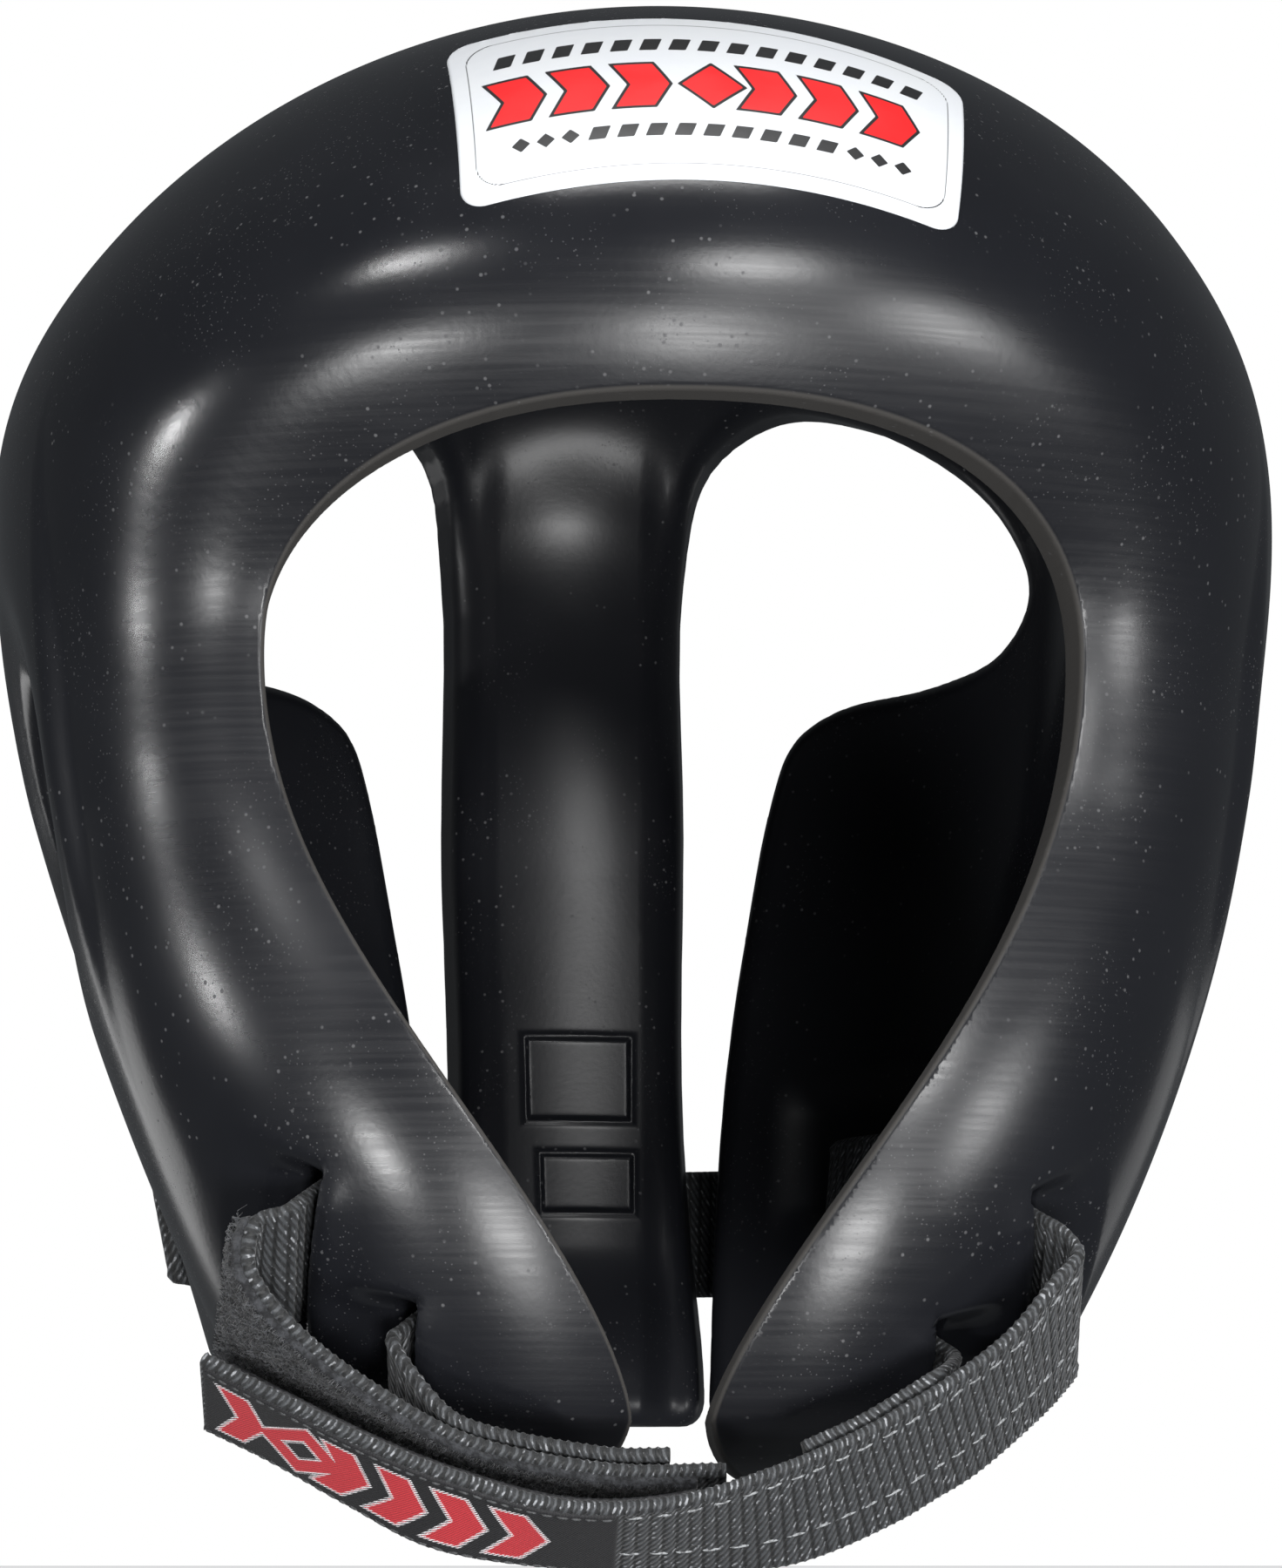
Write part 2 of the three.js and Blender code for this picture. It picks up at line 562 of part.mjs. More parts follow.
// ---------- the two closures ----------
// Each half of a closure is one webbing: its leg, the loop through both slots, and the strap
// from the fold on. It is cut at the hinge, which lies just past the near slot: the loop stays
// on the shell, and the strap swings with the leg that is sewn to it. The rail that comes first
// decides which face of the strap is its outer one.
function closureHalf(name, upperEdgeFirst, parts) {
  const { far, near, wall, strap, leg, strapHinge, legHinge } = parts;
  const rail = (edge) => [
    ...[...leg].reverse().map((station) => station[edge]),
    ...slotPoints(far, near, wall, edge === 0 ? -1 : 1),
    ...strap.map((station) => station[edge]),
  ];
  const rails = upperEdgeFirst ? [rail(0), rail(1)] : [rail(1), rail(0)];
  const strapStart = rails[0].length - strap.length;
  const last = (rails[0].length - 1) * STATIONS_PER_POINT;
  const hinge = {
    leg: (leg.length - 1 - legHinge) * STATIONS_PER_POINT,
    strap: (strapStart + strapHinge) * STATIONS_PER_POINT,
  };
  const stationAt = (point) => (strapStart + point) * STATIONS_PER_POINT;
  // Half the hinge gap as a share of the station that it falls in.
  const clear = (station) => {
    const { first } = railCurves(rails);
    const span = first.getPoint((station + 1) / last).distanceTo(first.getPoint(station / last));
    return HINGE.gap / 2 / span;
  };
  const addBand = (node, from, to) => {
    addPart(`${name}_${node}`, band(rails, { from, to, thickness: WEBBING.thickness }), COLOURS.webbing, 0.85);
  };
  addBand('loop', hinge.leg + clear(hinge.leg), hinge.strap - clear(hinge.strap));
  addBand('webbing', hinge.strap + clear(hinge.strap), last);
  addBand('leg', 0, hinge.leg - clear(hinge.leg));

  // A tape or label on the strap between two of its points, on its outer (1) or inner (-1) face.
  return (node, face, fromPoint, toPoint, { thickness, width }, colour, roughness) => {
    const lift = face * (WEBBING.thickness / 2 + TAPE.gap + thickness / 2);
    const gap = clear(hinge.strap);
    const from = stationAt(fromPoint) + (fromPoint === strapHinge ? gap : 0);
    const to = stationAt(toPoint) - (toPoint === strapHinge ? gap : 0);
    addPart(`${name}_${node}`, band(rails, { from, to, lift, thickness, width }), colour, roughness);
  };
}

const HOOK_SIZE = { thickness: TAPE.hook, width: TAPE.width };
const PILE_SIZE = { thickness: TAPE.pile, width: TAPE.width };

const onChinRight = closureHalf('chin_right', false, {
  far: slots.right.chinFar, near: slots.right.chinNear, wall: WALL.cheek,
  strap: CHIN_RIGHT, leg: CHIN_RIGHT_LEG,
  strapHinge: HINGE_POINT.chinRight, legHinge: HINGE_POINT.chinRightLeg,
});
onChinRight('hook_tape', -1, 6.75, 11.75, HOOK_SIZE, COLOURS.hook, 0.7);
onChinRight('tab_label', 1, 7.5, 12, TAB_LABEL, COLOURS.woven, 0.8);

const onChinLeft = closureHalf('chin_left', true, {
  far: slots.left.chinFar, near: slots.left.chinNear, wall: WALL.cheek,
  strap: CHIN_LEFT, leg: CHIN_LEFT_LEG,
  strapHinge: HINGE_POINT.chinLeft, legHinge: HINGE_POINT.chinLeftLeg,
});
// One pile tape, cut at the hinge like its webbing.
onChinLeft('pile_tape_fixed', 1, 0, HINGE_POINT.chinLeft, PILE_SIZE, COLOURS.pile, 0.95);
onChinLeft('pile_tape', 1, HINGE_POINT.chinLeft, 6.75, PILE_SIZE, COLOURS.pile, 0.95);

const onRearRight = closureHalf('rear_right', true, {
  far: slots.right.rearFar, near: slots.right.rearNear, wall: WALL.back,
  strap: rearStations(REAR_OUTER, 1), leg: rearStations(REAR_LEG, 1),
  strapHinge: HINGE_POINT.rear, legHinge: HINGE_POINT.rearLeg,
});
onRearRight('hook_tape', -1, 6, 7.5, HOOK_SIZE, COLOURS.hook, 0.7);

const onRearLeft = closureHalf('rear_left', false, {
  far: slots.left.rearFar, near: slots.left.rearNear, wall: WALL.back,
  strap: rearStations(REAR_INNER, -1), leg: rearStations(REAR_LEG, -1),
  strapHinge: HINGE_POINT.rear, legHinge: HINGE_POINT.rearLeg,
});
onRearLeft('pile_tape', 1, 4.25, 6.75, PILE_SIZE, COLOURS.pile, 0.95);

export default group;
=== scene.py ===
"""Looks of the foam head guard: shell, straps, tapes and labels, with floor, light and camera."""

import functools
import math
import random

import bmesh
import bpy
import numpy as np
from mathutils import Matrix, Vector


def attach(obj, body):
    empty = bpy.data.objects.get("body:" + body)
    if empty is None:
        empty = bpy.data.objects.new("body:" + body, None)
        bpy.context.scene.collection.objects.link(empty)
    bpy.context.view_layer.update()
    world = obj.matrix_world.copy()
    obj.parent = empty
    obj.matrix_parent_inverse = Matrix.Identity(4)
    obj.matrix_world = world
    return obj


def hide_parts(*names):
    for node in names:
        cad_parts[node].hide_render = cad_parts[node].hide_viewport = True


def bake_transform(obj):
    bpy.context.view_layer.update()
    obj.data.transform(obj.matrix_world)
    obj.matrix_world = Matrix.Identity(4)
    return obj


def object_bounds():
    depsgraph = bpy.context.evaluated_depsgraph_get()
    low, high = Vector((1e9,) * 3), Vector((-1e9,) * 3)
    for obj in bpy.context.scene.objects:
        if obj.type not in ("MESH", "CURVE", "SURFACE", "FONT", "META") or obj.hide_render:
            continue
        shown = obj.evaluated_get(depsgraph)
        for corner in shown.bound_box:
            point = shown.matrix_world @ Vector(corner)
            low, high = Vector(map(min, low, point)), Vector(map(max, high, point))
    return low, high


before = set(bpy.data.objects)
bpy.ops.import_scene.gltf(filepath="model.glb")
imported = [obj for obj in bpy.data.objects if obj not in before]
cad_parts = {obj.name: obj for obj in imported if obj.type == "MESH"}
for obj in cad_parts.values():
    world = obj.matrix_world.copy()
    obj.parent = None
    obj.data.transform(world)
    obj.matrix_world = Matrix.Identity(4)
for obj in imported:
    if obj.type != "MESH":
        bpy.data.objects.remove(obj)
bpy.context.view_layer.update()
MM = 0.001

# Lengths are in millimetres unless a comment says otherwise: x to the right as seen from the front,
# y to the back, z up. Tuples named ..._FADE are where a change starts and where it is complete.

# ---------- foam shell ----------
HALF_WIDTH, FRONT, BACK, CROWN = 115.0, 122.0, 114.0, 94.3
SIDE_DROP, BACK_DROP = 205.0, 288.0
DROP_FADE, HALVES_FADE = (0, 70), (-50, 50)
TAPER, TAPER_HEIGHT_FADE, TAPER_DEPTH_FADE = 0.36, (-20, -140), (-57, 24)
LEAN, LEAN_FADE = 4.1, (10, 90)
WALL_SIDE, WALL_FRONT, WALL_BACK, WALL_CROWN, WALL_CHEEK, WALL_RIM = 29.0, 25.0, 15.0, 20.0, 18.0, 12.0
CROWN_FADE, CHEEK_FADE, LOWER_FADE, BACK_FADE = (20, 85), (0, -50), (-60, -140), (15, 65)

EYE_LEVEL, FACE_HALF_WIDTH, BROW_RISE, BROW_POWER = -32.0, 69.0, 38.0, 2.4
CHIN_DROP, CHIN_GAP, CHIN_POWER = 128.0, 6.5, 1.4
TIP_START, TIP_RADIUS, TIP_BOTTOM = -158.0, 13.0, -215.0
RIM_EDGE, RIM_SLOPE, RIM_SOFTNESS, RIM_FADE = 9.0, 0.72, 16.0, (-18, -46)

NECK_SIDES, NECK_CHIN, NECK_NAPE = -150.0, -170.5, -157.0
NECK_FADE, NAPE_SIDE_FADE, NAPE_DEPTH_FADE = (-45, -8), (29, 23), (45, 60)
EAR_Y, EAR_Z, EAR_HALF_Y, EAR_HALF_Z = -10.0, -50.0, 15.0, 21.0
EAR_DENT, EAR_DENT_REACH, EAR_SIDE_FADE = 4.0, 10.0, (60, 90)
# Radii of the cut edges.
INNER_EDGE, NECK_EDGE, WINDOW_EDGE, EAR_EDGE, SLOT_EDGE, FACE_EDGE = 4.0, 5.5, 4.5, 5.0, 1.2, 1.0

WINDOW_RADIUS, WINDOW_SHIFT, WINDOW_FRONT = 95.0, -2.5, 12.0
# Rear window, right side: arc length round the back from its centre line, and height.
WINDOW = [
    (27, -190), (27, -150), (23.5, -120), (21.5, -90), (21.5, -40), (21.5, 12), (27, 33), (42, 41.5),
    (61, 38), (79, 27), (89, 15), (93, 2), (86, -8), (71, -13), (52, -16), (43, -22), (38.5, -34), (34, -60),
    (30.5, -90), (29.2, -120), (29.2, -150), (29.2, -190),
]

# Shapes of the inner side at the back.
BEHIND_FADE = (10, 40)
STRIP_CROWN, STRIP_HALF_WIDTH, STRIP_FADE, STRIP_TOP_FADE = 5.5, 21.0, (14, 24), (45, 20)
NAPE_PAD, NAPE_FADE = 5.5, (-122, -148)
# Blank frames on the inner side of the strip: left, right (arc length), top, bottom.
STRIP_FRAMES = [(-12.5, 9.8, -81.3, -98.0), (-10.0, 10.4, -104.3, -116.0)]
FRAME_DEPTH, FRAME_RIDGE, FRAME_LINE = 0.55, 0.35, 0.7
# The recess of each lobe: middle and half size along the arc and upwards.
POCKET_DEPTH, POCKET_FADE = 3.5, (-9.0, 3.0)
POCKET_ARC, POCKET_HALF_ARC, POCKET_Z, POCKET_HALF_Z = 68, 27, -106, 17

# ---------- strap slots ----------
CHIN_OUT = (0.63, -0.6, -0.49)
# How far the slots of each cheek are moved up along themselves.
CHEEK_SHIFT = {1: -0.5, -1: 2.5}
CHIN_FAR_SLOT, CHIN_NEAR_SLOT = ((62, -61, -135), (0, 0.6, -0.8)), ((44.5, -60, -156.5), (-0.08, 0.6, -0.8))
REAR_FAR_ANGLE, REAR_NEAR_ANGLE = 52, 33
CHIN_SLOT_LENGTH, REAR_SLOT_LENGTH, SLOT_GAP = 33.0, 28.0, 5.0
SLOT_REACH, SLOT_OFFSET = 35.0, 8.0
REAR_TOP, REAR_BOTTOM = -106.0, -131.0
# Depth and length of the slope beside a slot, and the raised lip on its other side.
CHIN_DISH, REAR_DISH = (6.5, 17), (4.0, 12)
LIP_HEIGHT, LIP_OFFSET, LIP_WIDTH = 0.9, 3.2, 3.4

# ---------- forehead label ----------
LABEL_LEFT, LABEL_RIGHT_BOTTOM, LABEL_RIGHT_TOP = -39.0, 42.6, 49.0
# Heights of its lower and upper edge: left, middle, right.
LABEL_BOTTOM, LABEL_TOP = (35.0, 40.0, 33.0), (73.0, 78.5, 66.0)
LABEL_WIDTH, LABEL_HEIGHT, LABEL_CORNER, LABEL_LIFT, LABEL_BURIED = 87.0, 42.0, 4.5, 0.45, 0.2
BORDER_INSET, BORDER_CORNER, BORDER_LINE = 3.0, 5.0, 0.26
ARROW_PITCH, ARROW_HALF_LENGTH, ARROW_HALF_HEIGHT, ARROW_OUTLINE, ARROW_LIFT = 10.6, 3.6, 5.6, 0.28, 0.5
BAR_PITCH, BAR_HALF_LENGTH, BAR_LEAN = 4.9, 1.5, 0.35
# Rows of small bars: how many, height on the label, half height of a bar.
BAR_ROWS = [(15, 11.5, 1.7), (9, -10.5, 1.4)]
DOT_START, DOT_PITCH, DOT_SIZE = 24.5, 4.2, 1.6

# ---------- straps ----------
WEBBING_WIDTH, WEBBING_THICKNESS = 25.0, 1.8
WEBBING_RIB, WEBBING_RELIEF = 2.2, 0.42
SELVAGE, SELVAGE_TWIST = 1.5, 1.5
LEG_HEIGHT, FOLD_HEIGHT = 2.2, 4.5
TAPE_WIDTH, PILE_THICKNESS, HOOK_THICKNESS = 23.0, 2.0, 1.4
TAPE_EDGE, TAPE_BURIED = 0.7, 0.25
TAB_WIDTH, TAB_THICKNESS = 22.5, 0.7
TAB_FIGURES, TAB_DIAMOND = 6, 4
THREAD, FIBRE, FIBRE_LENGTH = 0.5, 0.14, 1.5
STITCH_RINGS, STITCH_SIDES = 7, 6
CHIN_SEAMS, TAB_SEAMS, REAR_SEAMS = (-4.6, 9.3), (-10.3, 10.3), (-10.6, 10.6)
PER_SPAN = 60
# The point of each strap where it starts to swing, counted from its fold.
HINGE_POINT = {"chin_right": 4, "chin_left": 5, "rear_right": 4, "rear_left": 4}

# Upper and lower edge of each strap, from the fold at its far slot to its free end, and of its
# return leg, from the near slot to its end.
CHIN_RIGHT = [
    ((66.5, -75.5, -131.5), (69, -54, -151)), ((62, -78.5, -136.5), (66, -58, -155)),
    ((54, -81, -145.5), (60, -61, -160.5)), ((43, -83, -153.5), (50, -64, -168.5)),
    ((36.5, -84, -157.3), (43.5, -65.2, -172.3)), ((30, -85, -161), (37, -66.5, -176)),
    ((15, -87.5, -167.5), (19, -68, -183)), ((-3, -89, -173), (-1, -66.5, -184)),
    ((-20, -89, -173.6), (-19, -66.5, -183.2)), ((-39, -87.5, -168.4), (-40, -65, -180)),
    ((-51.4, -85, -163.5), (-53.4, -62, -173)), ((-64.4, -80, -157), (-65.4, -56.5, -166)),
    ((-78, -72, -149.5), (-76.4, -50, -160.5)),
]
CHIN_RIGHT_LEG = [
    ((41.3, -81.2, -152), (48.3, -62.2, -167)), ((35.3, -82.3, -155.7), (42.3, -63.6, -170.7)),
    ((29, -83.4, -159.3), (36, -64.9, -174.3)), ((19, -85.2, -163.8), (23.5, -66, -179.3)),
]
CHIN_LEFT = [
    ((-69.5, -76, -127), (-71, -55.5, -145)), ((-71, -78, -133.5), (-72, -57, -149.5)),
    ((-68.5, -78.5, -139), (-69, -57.5, -153)), ((-61, -78.5, -147), (-62, -57.5, -158.5)),
    ((-49, -78.5, -155.5), (-49.5, -57, -167.5)), ((-35, -79, -162.8), (-34.5, -57.4, -175.8)),
    ((-12, -80, -167.5), (-11, -58, -178.5)), ((7, -80.5, -167.5), (9.5, -58.5, -178.5)),
]
CHIN_LEFT_LEG = [
    ((-39, -77.8, -157.9), (-39, -56.4, -171)), ((-34.3, -77.9, -160.5), (-33.8, -56.4, -173.6)),
    ((-12, -78.6, -164.9), (-11, -56.6, -175.9)), ((-2, -78.9, -165), (-0.5, -56.9, -176)),
]
# Rear straps: angle from the middle of the back, and lift off the shell.
REAR_OUTER = [
    (53, 8.8), (50.5, 9.6), (44, 7.8), (33, 5.6), (25, 5.3), (18, 8.4), (10, 10.3), (-8, 10.3), (-22, 10.3),
]
REAR_INNER = [(53, 8), (50.5, 9.6), (44, 8.2), (33, 5.8), (25, 5.2), (18, 3.9), (8, 3.5), (-8, 3.5)]
REAR_LEG = [(31, 3), (28, 2.8), (25, 2.7), (21, 1.8)]

# ---------- colours ----------
FOAM_DARK, FOAM_LIGHT = (0.006, 0.0064, 0.0082), (0.011, 0.0117, 0.0145)
FOAM_BRUSHED, FOAM_CUT, DUST = (0.016, 0.016, 0.018), (0.05, 0.047, 0.044), (0.12, 0.12, 0.125)
WEBBING_DARK, WEBBING_LIGHT, WEBBING_GLINT = (0.010, 0.0108, 0.012), (0.055, 0.059, 0.064), (0.36, 0.37, 0.39)
# painted shade: the darker colour laid into the grooves between the webbing's ribs
WEBBING_PAINTED_GROOVE_SHADE = (0.0035, 0.004, 0.0045)
PILE_DARK, PILE_LIGHT, FUZZ_LIGHT = (0.006, 0.0065, 0.008), (0.04, 0.042, 0.047), (0.1, 0.105, 0.115)
HOOK_DARK, HOOK_LIGHT = (0.008, 0.008, 0.009), (0.03, 0.03, 0.033)
TAB_BLACK, TAB_GREY = (0.005, 0.005, 0.006), (0.018, 0.018, 0.021)
TAB_RED_DARK, TAB_RED, TAB_WHITE = (0.38, 0.016, 0.024), (0.75, 0.05, 0.065), (0.9, 0.87, 0.89)
LABEL_WHITE, LABEL_SHADE = (0.72, 0.74, 0.76), (0.68, 0.70, 0.73)
LABEL_RED, LABEL_BLACK = (0.80, 0.012, 0.014), (0.012, 0.012, 0.013)
SEAM_COLOUR, DARK_THREAD = (0.3, 0.31, 0.32), (0.05, 0.052, 0.055)

# ---------- fineness of the meshes ----------
GRID = 1.5
GRID_LOW, GRID_HIGH = (-119, -125, -174), (119, 119, 99)
FIBRE_COUNT = 9000
LABEL_GRID = ((300, 150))
# Steps along and across the chin and the rear webbings, and the step of the tapes.
CHIN_STEPS, REAR_STEPS = (((0.5, 0.75), (0.6, 1.2)))
TAPE_STEP = 0.4

# ---------- floor, light (in metres) and camera ----------
FLOOR_COLOUR, FLOOR_ROUGHNESS, FLOOR_GLOW = (0.86, 0.86, 0.87), 0.6, 0.7
FLOOR_SIZE, FLOOR_DROP, BACKDROP_RADIUS = 10.0, 0.0005, 6.0
SKY_COLOUR, SKY_STRENGTH = (0.9, 0.95, 1.0, 1), 0.09
# Name, azimuth from the front, elevation, distance, width, height, radiance.
LAMPS = [
    ("spot_left", -79, -4, 1.5, 0.14, 0.09, 75),
    ("brow_left", -44, 26, 1.5, 0.26, 0.18, 26),
    ("cheek_left", -38, -19, 1.5, 0.20, 0.16, 72),
    ("brow_right", 14, 10, 1.5, 0.40, 0.22, 36),
    ("side_right", 43, -8, 1.5, 0.32, 0.36, 24),
    ("front_low", 6, -25, 1.5, 0.46, 0.40, 26),
    ("back_left", -135, -12, 1.5, 0.60, 0.40, 1.5),
    ("back_right", 131, -10, 1.5, 0.50, 0.40, 0.4),
    ("lamp_top", 0, 70, 1.6, 0.90, 0.70, 8),
]
LAMP_AIM = Vector((0, 0, -0.04))
CAMERA_AZIMUTH, CAMERA_ELEVATION, CAMERA_DISTANCE = -6.0, -8.0, 1.0
CAMERA_CENTRE, CAMERA_AIM = Vector((0, 0, -0.044)), Vector((0.0016, 0.0, -0.044))
LENS, SENSOR_WIDTH = 155.788, 36.0


# ---------- helpers on arrays ----------
def smooth(start, end, x):
    t = np.clip((x - start) / (end - start), 0.0, 1.0)
    return t * t * (3.0 - 2.0 * t)


def mix(a, b, t):
    return a + (b - a) * t


def bump(x, width):
    """1 at zero, falling to nothing a few widths away."""
    return np.exp(-((x / width) ** 2))


def soft_max(a, b, radius):
    """The larger of two distances, with the crease between them blended."""
    h = np.maximum(radius - np.abs(a - b), 0.0) / radius
    return np.maximum(a, b) + h * h * radius / 4.0


def round_cut(solid, keep, radius):
    """What of a solid lies where keep is negative, its edge rounded to a true radius."""
    u = np.maximum(solid + radius, 0.0)
    v = np.maximum(keep + radius, 0.0)
    return np.minimum(np.maximum(solid, keep), -radius) + np.hypot(u, v)


def quarter_round(inset, radius, least):
    """Relative height of a rounded edge at some distance in from it."""
    return np.sqrt(np.clip(1 - (1 - np.minimum(inset / radius, 1)) ** 2, least, 1))


def catmull_rom(points, per_span):
    """A centripetal curve through points, as an array of positions."""
    p = np.array(points, float)
    p = np.vstack([2 * p[0] - p[1], p, 2 * p[-1] - p[-2]])
    out = []
    for i in range(1, len(p) - 2):
        knots = [0.0]
        for a, b in zip(p[i - 1:i + 2], p[i:i + 3]):
            knots.append(knots[-1] + max(np.linalg.norm(b - a), 1e-6) ** 0.5)
        t0, t1, t2, t3 = knots
        t = np.linspace(t1, t2, per_span, endpoint=False)[:, None]
        a1 = (t1 - t) / (t1 - t0) * p[i - 1] + (t - t0) / (t1 - t0) * p[i]
        a2 = (t2 - t) / (t2 - t1) * p[i] + (t - t1) / (t2 - t1) * p[i + 1]
        a3 = (t3 - t) / (t3 - t2) * p[i + 1] + (t - t2) / (t3 - t2) * p[i + 2]
        b1 = (t2 - t) / (t2 - t0) * a1 + (t - t0) / (t2 - t0) * a2
        b2 = (t3 - t) / (t3 - t1) * a2 + (t - t1) / (t3 - t1) * a3
        out.append((t2 - t) / (t2 - t1) * b1 + (t - t1) / (t2 - t1) * b2)
    return np.vstack([*out, p[-2][None]])


class Chart:
    """Signed distance to a closed outline, tabled once on a plane and then looked up."""

    STEP = 0.5

    def __init__(self, outline, low, high):
        self.low = np.array(low, float)
        count = ((np.array(high) - self.low) / self.STEP).astype(int) + 2
        u = self.low[0] + self.STEP * np.arange(count[0])
        v = self.low[1] + self.STEP * np.arange(count[1])
        uu, vv = np.meshgrid(u, v, indexing="ij")
        nearest = np.full(uu.shape, np.inf)
        inside = np.zeros(uu.shape, bool)
        for (ax, ay), (bx, by) in zip(outline, np.roll(outline, -1, axis=0)):
            dx, dy = bx - ax, by - ay
            length = math.hypot(dx, dy)
            if length < 1e-9:
                continue
            t = np.clip(((uu - ax) * dx + (vv - ay) * dy) / length ** 2, 0.0, 1.0)
            distance = np.hypot(uu - ax - t * dx, vv - ay - t * dy)
            nearest = np.minimum(nearest, distance)
            crosses = (ay > vv) != (by > vv)
            if dy != 0:
                inside ^= crosses & (uu < ax + (vv - ay) * dx / dy)
        self.distance = np.where(inside, -nearest, nearest)

    def __call__(self, u, v):
        table = self.distance
        fu = np.clip((u - self.low[0]) / self.STEP, 0, table.shape[0] - 1.001)
        fv = np.clip((v - self.low[1]) / self.STEP, 0, table.shape[1] - 1.001)
        iu = fu.astype(int)
        iv = fv.astype(int)
        fu = fu - iu
        fv = fv - iv
        return (table[iu, iv] * (1 - fu) * (1 - fv) + table[iu + 1, iv] * fu * (1 - fv)
                + table[iu, iv + 1] * (1 - fu) * fv + table[iu + 1, iv + 1] * fu * fv)


# ---------- the face opening and the rear windows ----------
def face_outline():
    """Seen from the front: a broad brow, sides that narrow to the chin, and rounded tips."""
    right = []
    for turn in np.linspace(0, math.pi / 2, 40):
        rise = math.cos(turn) ** (2 / BROW_POWER)
        half = FACE_HALF_WIDTH * max(1 - rise ** BROW_POWER, 0) ** (1 / BROW_POWER)
        right.append((half, EYE_LEVEL + BROW_RISE * rise))
    for drop in np.linspace(0, 1, 70)[1:]:
        narrowing = max(math.cos(math.pi / 2 * drop), 0) ** CHIN_POWER
        right.append((mix(CHIN_GAP, FACE_HALF_WIDTH, narrowing), EYE_LEVEL - CHIN_DROP * drop))
    for turn in np.linspace(0, math.pi / 2, 12)[1:]:
        right.append((CHIN_GAP + TIP_RADIUS * (1 - math.cos(turn)), TIP_START - TIP_RADIUS * math.sin(turn)))
    right.append((CHIN_GAP + TIP_RADIUS, TIP_BOTTOM))
    left = [(-x, z) for x, z in reversed(right[1:])]
    return np.array(right + left)


# ---------- strap slots ----------
def skin_level(x, y, z):
    """1 on the outer skin, growing outwards, and its three weights."""
    x = x - LEAN * smooth(*LEAN_FADE, z)
    taper = 1 + TAPER * smooth(*TAPER_HEIGHT_FADE, z) * smooth(*TAPER_DEPTH_FADE, y)
    width_term = taper / HALF_WIDTH ** 2
    back_weight = smooth(*HALVES_FADE, y)
    up_weight = smooth(*HALVES_FADE, z)
    drop = mix(SIDE_DROP, BACK_DROP, smooth(*DROP_FADE, y))
    depth_term = mix(1 / FRONT ** 2, 1 / BACK ** 2, back_weight)
    height_term = mix(1 / drop ** 2, 1 / CROWN ** 2, up_weight)
    level = np.sqrt(x * x * width_term + y * y * depth_term + z * z * height_term)
    return level, width_term, depth_term, height_term


def unit(v):
    v = np.array(v, float)
    return v / np.linalg.norm(v)


class Slot:
    """A slot's centre on the skin and its own directions: along it, across it and out of the skin."""

    def __init__(self, centre, along, out, length, side):
        self.centre = np.array(centre, float)
        self.along = unit(along)
        self.out = unit(out)
        self.across = side * np.cross(self.out, self.along)
        self.length = length

    def local(self, x, y, z):
        dx, dy, dz = x - self.centre[0], y - self.centre[1], z - self.centre[2]
        return tuple(dx * v[0] + dy * v[1] + dz * v[2] for v in (self.along, self.across, self.out))

    def at(self, along, depth):
        return self.centre + self.along * along + self.out * depth


def chin_slot(centre, along, side):
    along = unit(along)
    out = unit(CHIN_OUT)
    out = unit(out - along * (out @ along))
    centre = np.array(centre, float) - along * CHEEK_SHIFT[side]
    turn = np.array([side, 1, 1])
    return Slot(centre * turn, along * turn, out * turn, CHIN_SLOT_LENGTH, side)


def rear_point(angle, z, lift):
    """A point over the outer skin, at an angle in degrees from the middle of the back."""
    a = math.radians(angle)
    low, high = 40.0, 140.0
    for _ in range(40):
        middle = (low + high) / 2
        if skin_level(math.sin(a) * middle, math.cos(a) * middle, z)[0] < 1:
            low = middle
        else:
            high = middle
    radius = (low + high) / 2 + lift
    return np.array([math.sin(a) * radius, math.cos(a) * radius, z])


def rear_slot(angle, side):
    top = rear_point(side * angle, REAR_TOP, 0)
    bottom = rear_point(side * angle, REAR_BOTTOM, 0)
    along = unit(bottom - top)
    a = math.radians(side * angle)
    radial = np.array([math.sin(a), math.cos(a), 0])
    return Slot((top + bottom) / 2, along, radial - along * (radial @ along), REAR_SLOT_LENGTH, -side)


def dish(slot, x, y, z, depth, reach):
    """How deep the skin dips beside a slot: a sharp lip on one side, a long slope on the other."""
    along, across, out = slot.local(x, y, z)
    end = slot.length / 2
    window = 1 - smooth(end - 5, end + 4, np.abs(along))
    near = 1 - smooth(14, 26, np.abs(out))
    slope = (1 - smooth(0.5, reach, across)) * smooth(-SLOT_GAP / 2 - SLOT_EDGE, -SLOT_GAP / 2, across)
    lip = bump(across + SLOT_GAP / 2 + LIP_OFFSET, LIP_WIDTH) * (across < 0)
    return (depth * slope - LIP_HEIGHT * lip) * window * near


# ---------- the shell as a signed distance ----------
FACE = Chart(face_outline(), (-125, -180), (125, 110))
WINDOW_SHAPE = Chart(catmull_rom(WINDOW, 5), (0, -180), (160, 110))
SLOTS = {}
for name, side in (("right", 1), ("left", -1)):
    SLOTS[name, "chin_far"] = chin_slot(*CHIN_FAR_SLOT, side)
    SLOTS[name, "chin_near"] = chin_slot(*CHIN_NEAR_SLOT, side)
    SLOTS[name, "rear_far"] = rear_slot(REAR_FAR_ANGLE, side)
    SLOTS[name, "rear_near"] = rear_slot(REAR_NEAR_ANGLE, side)


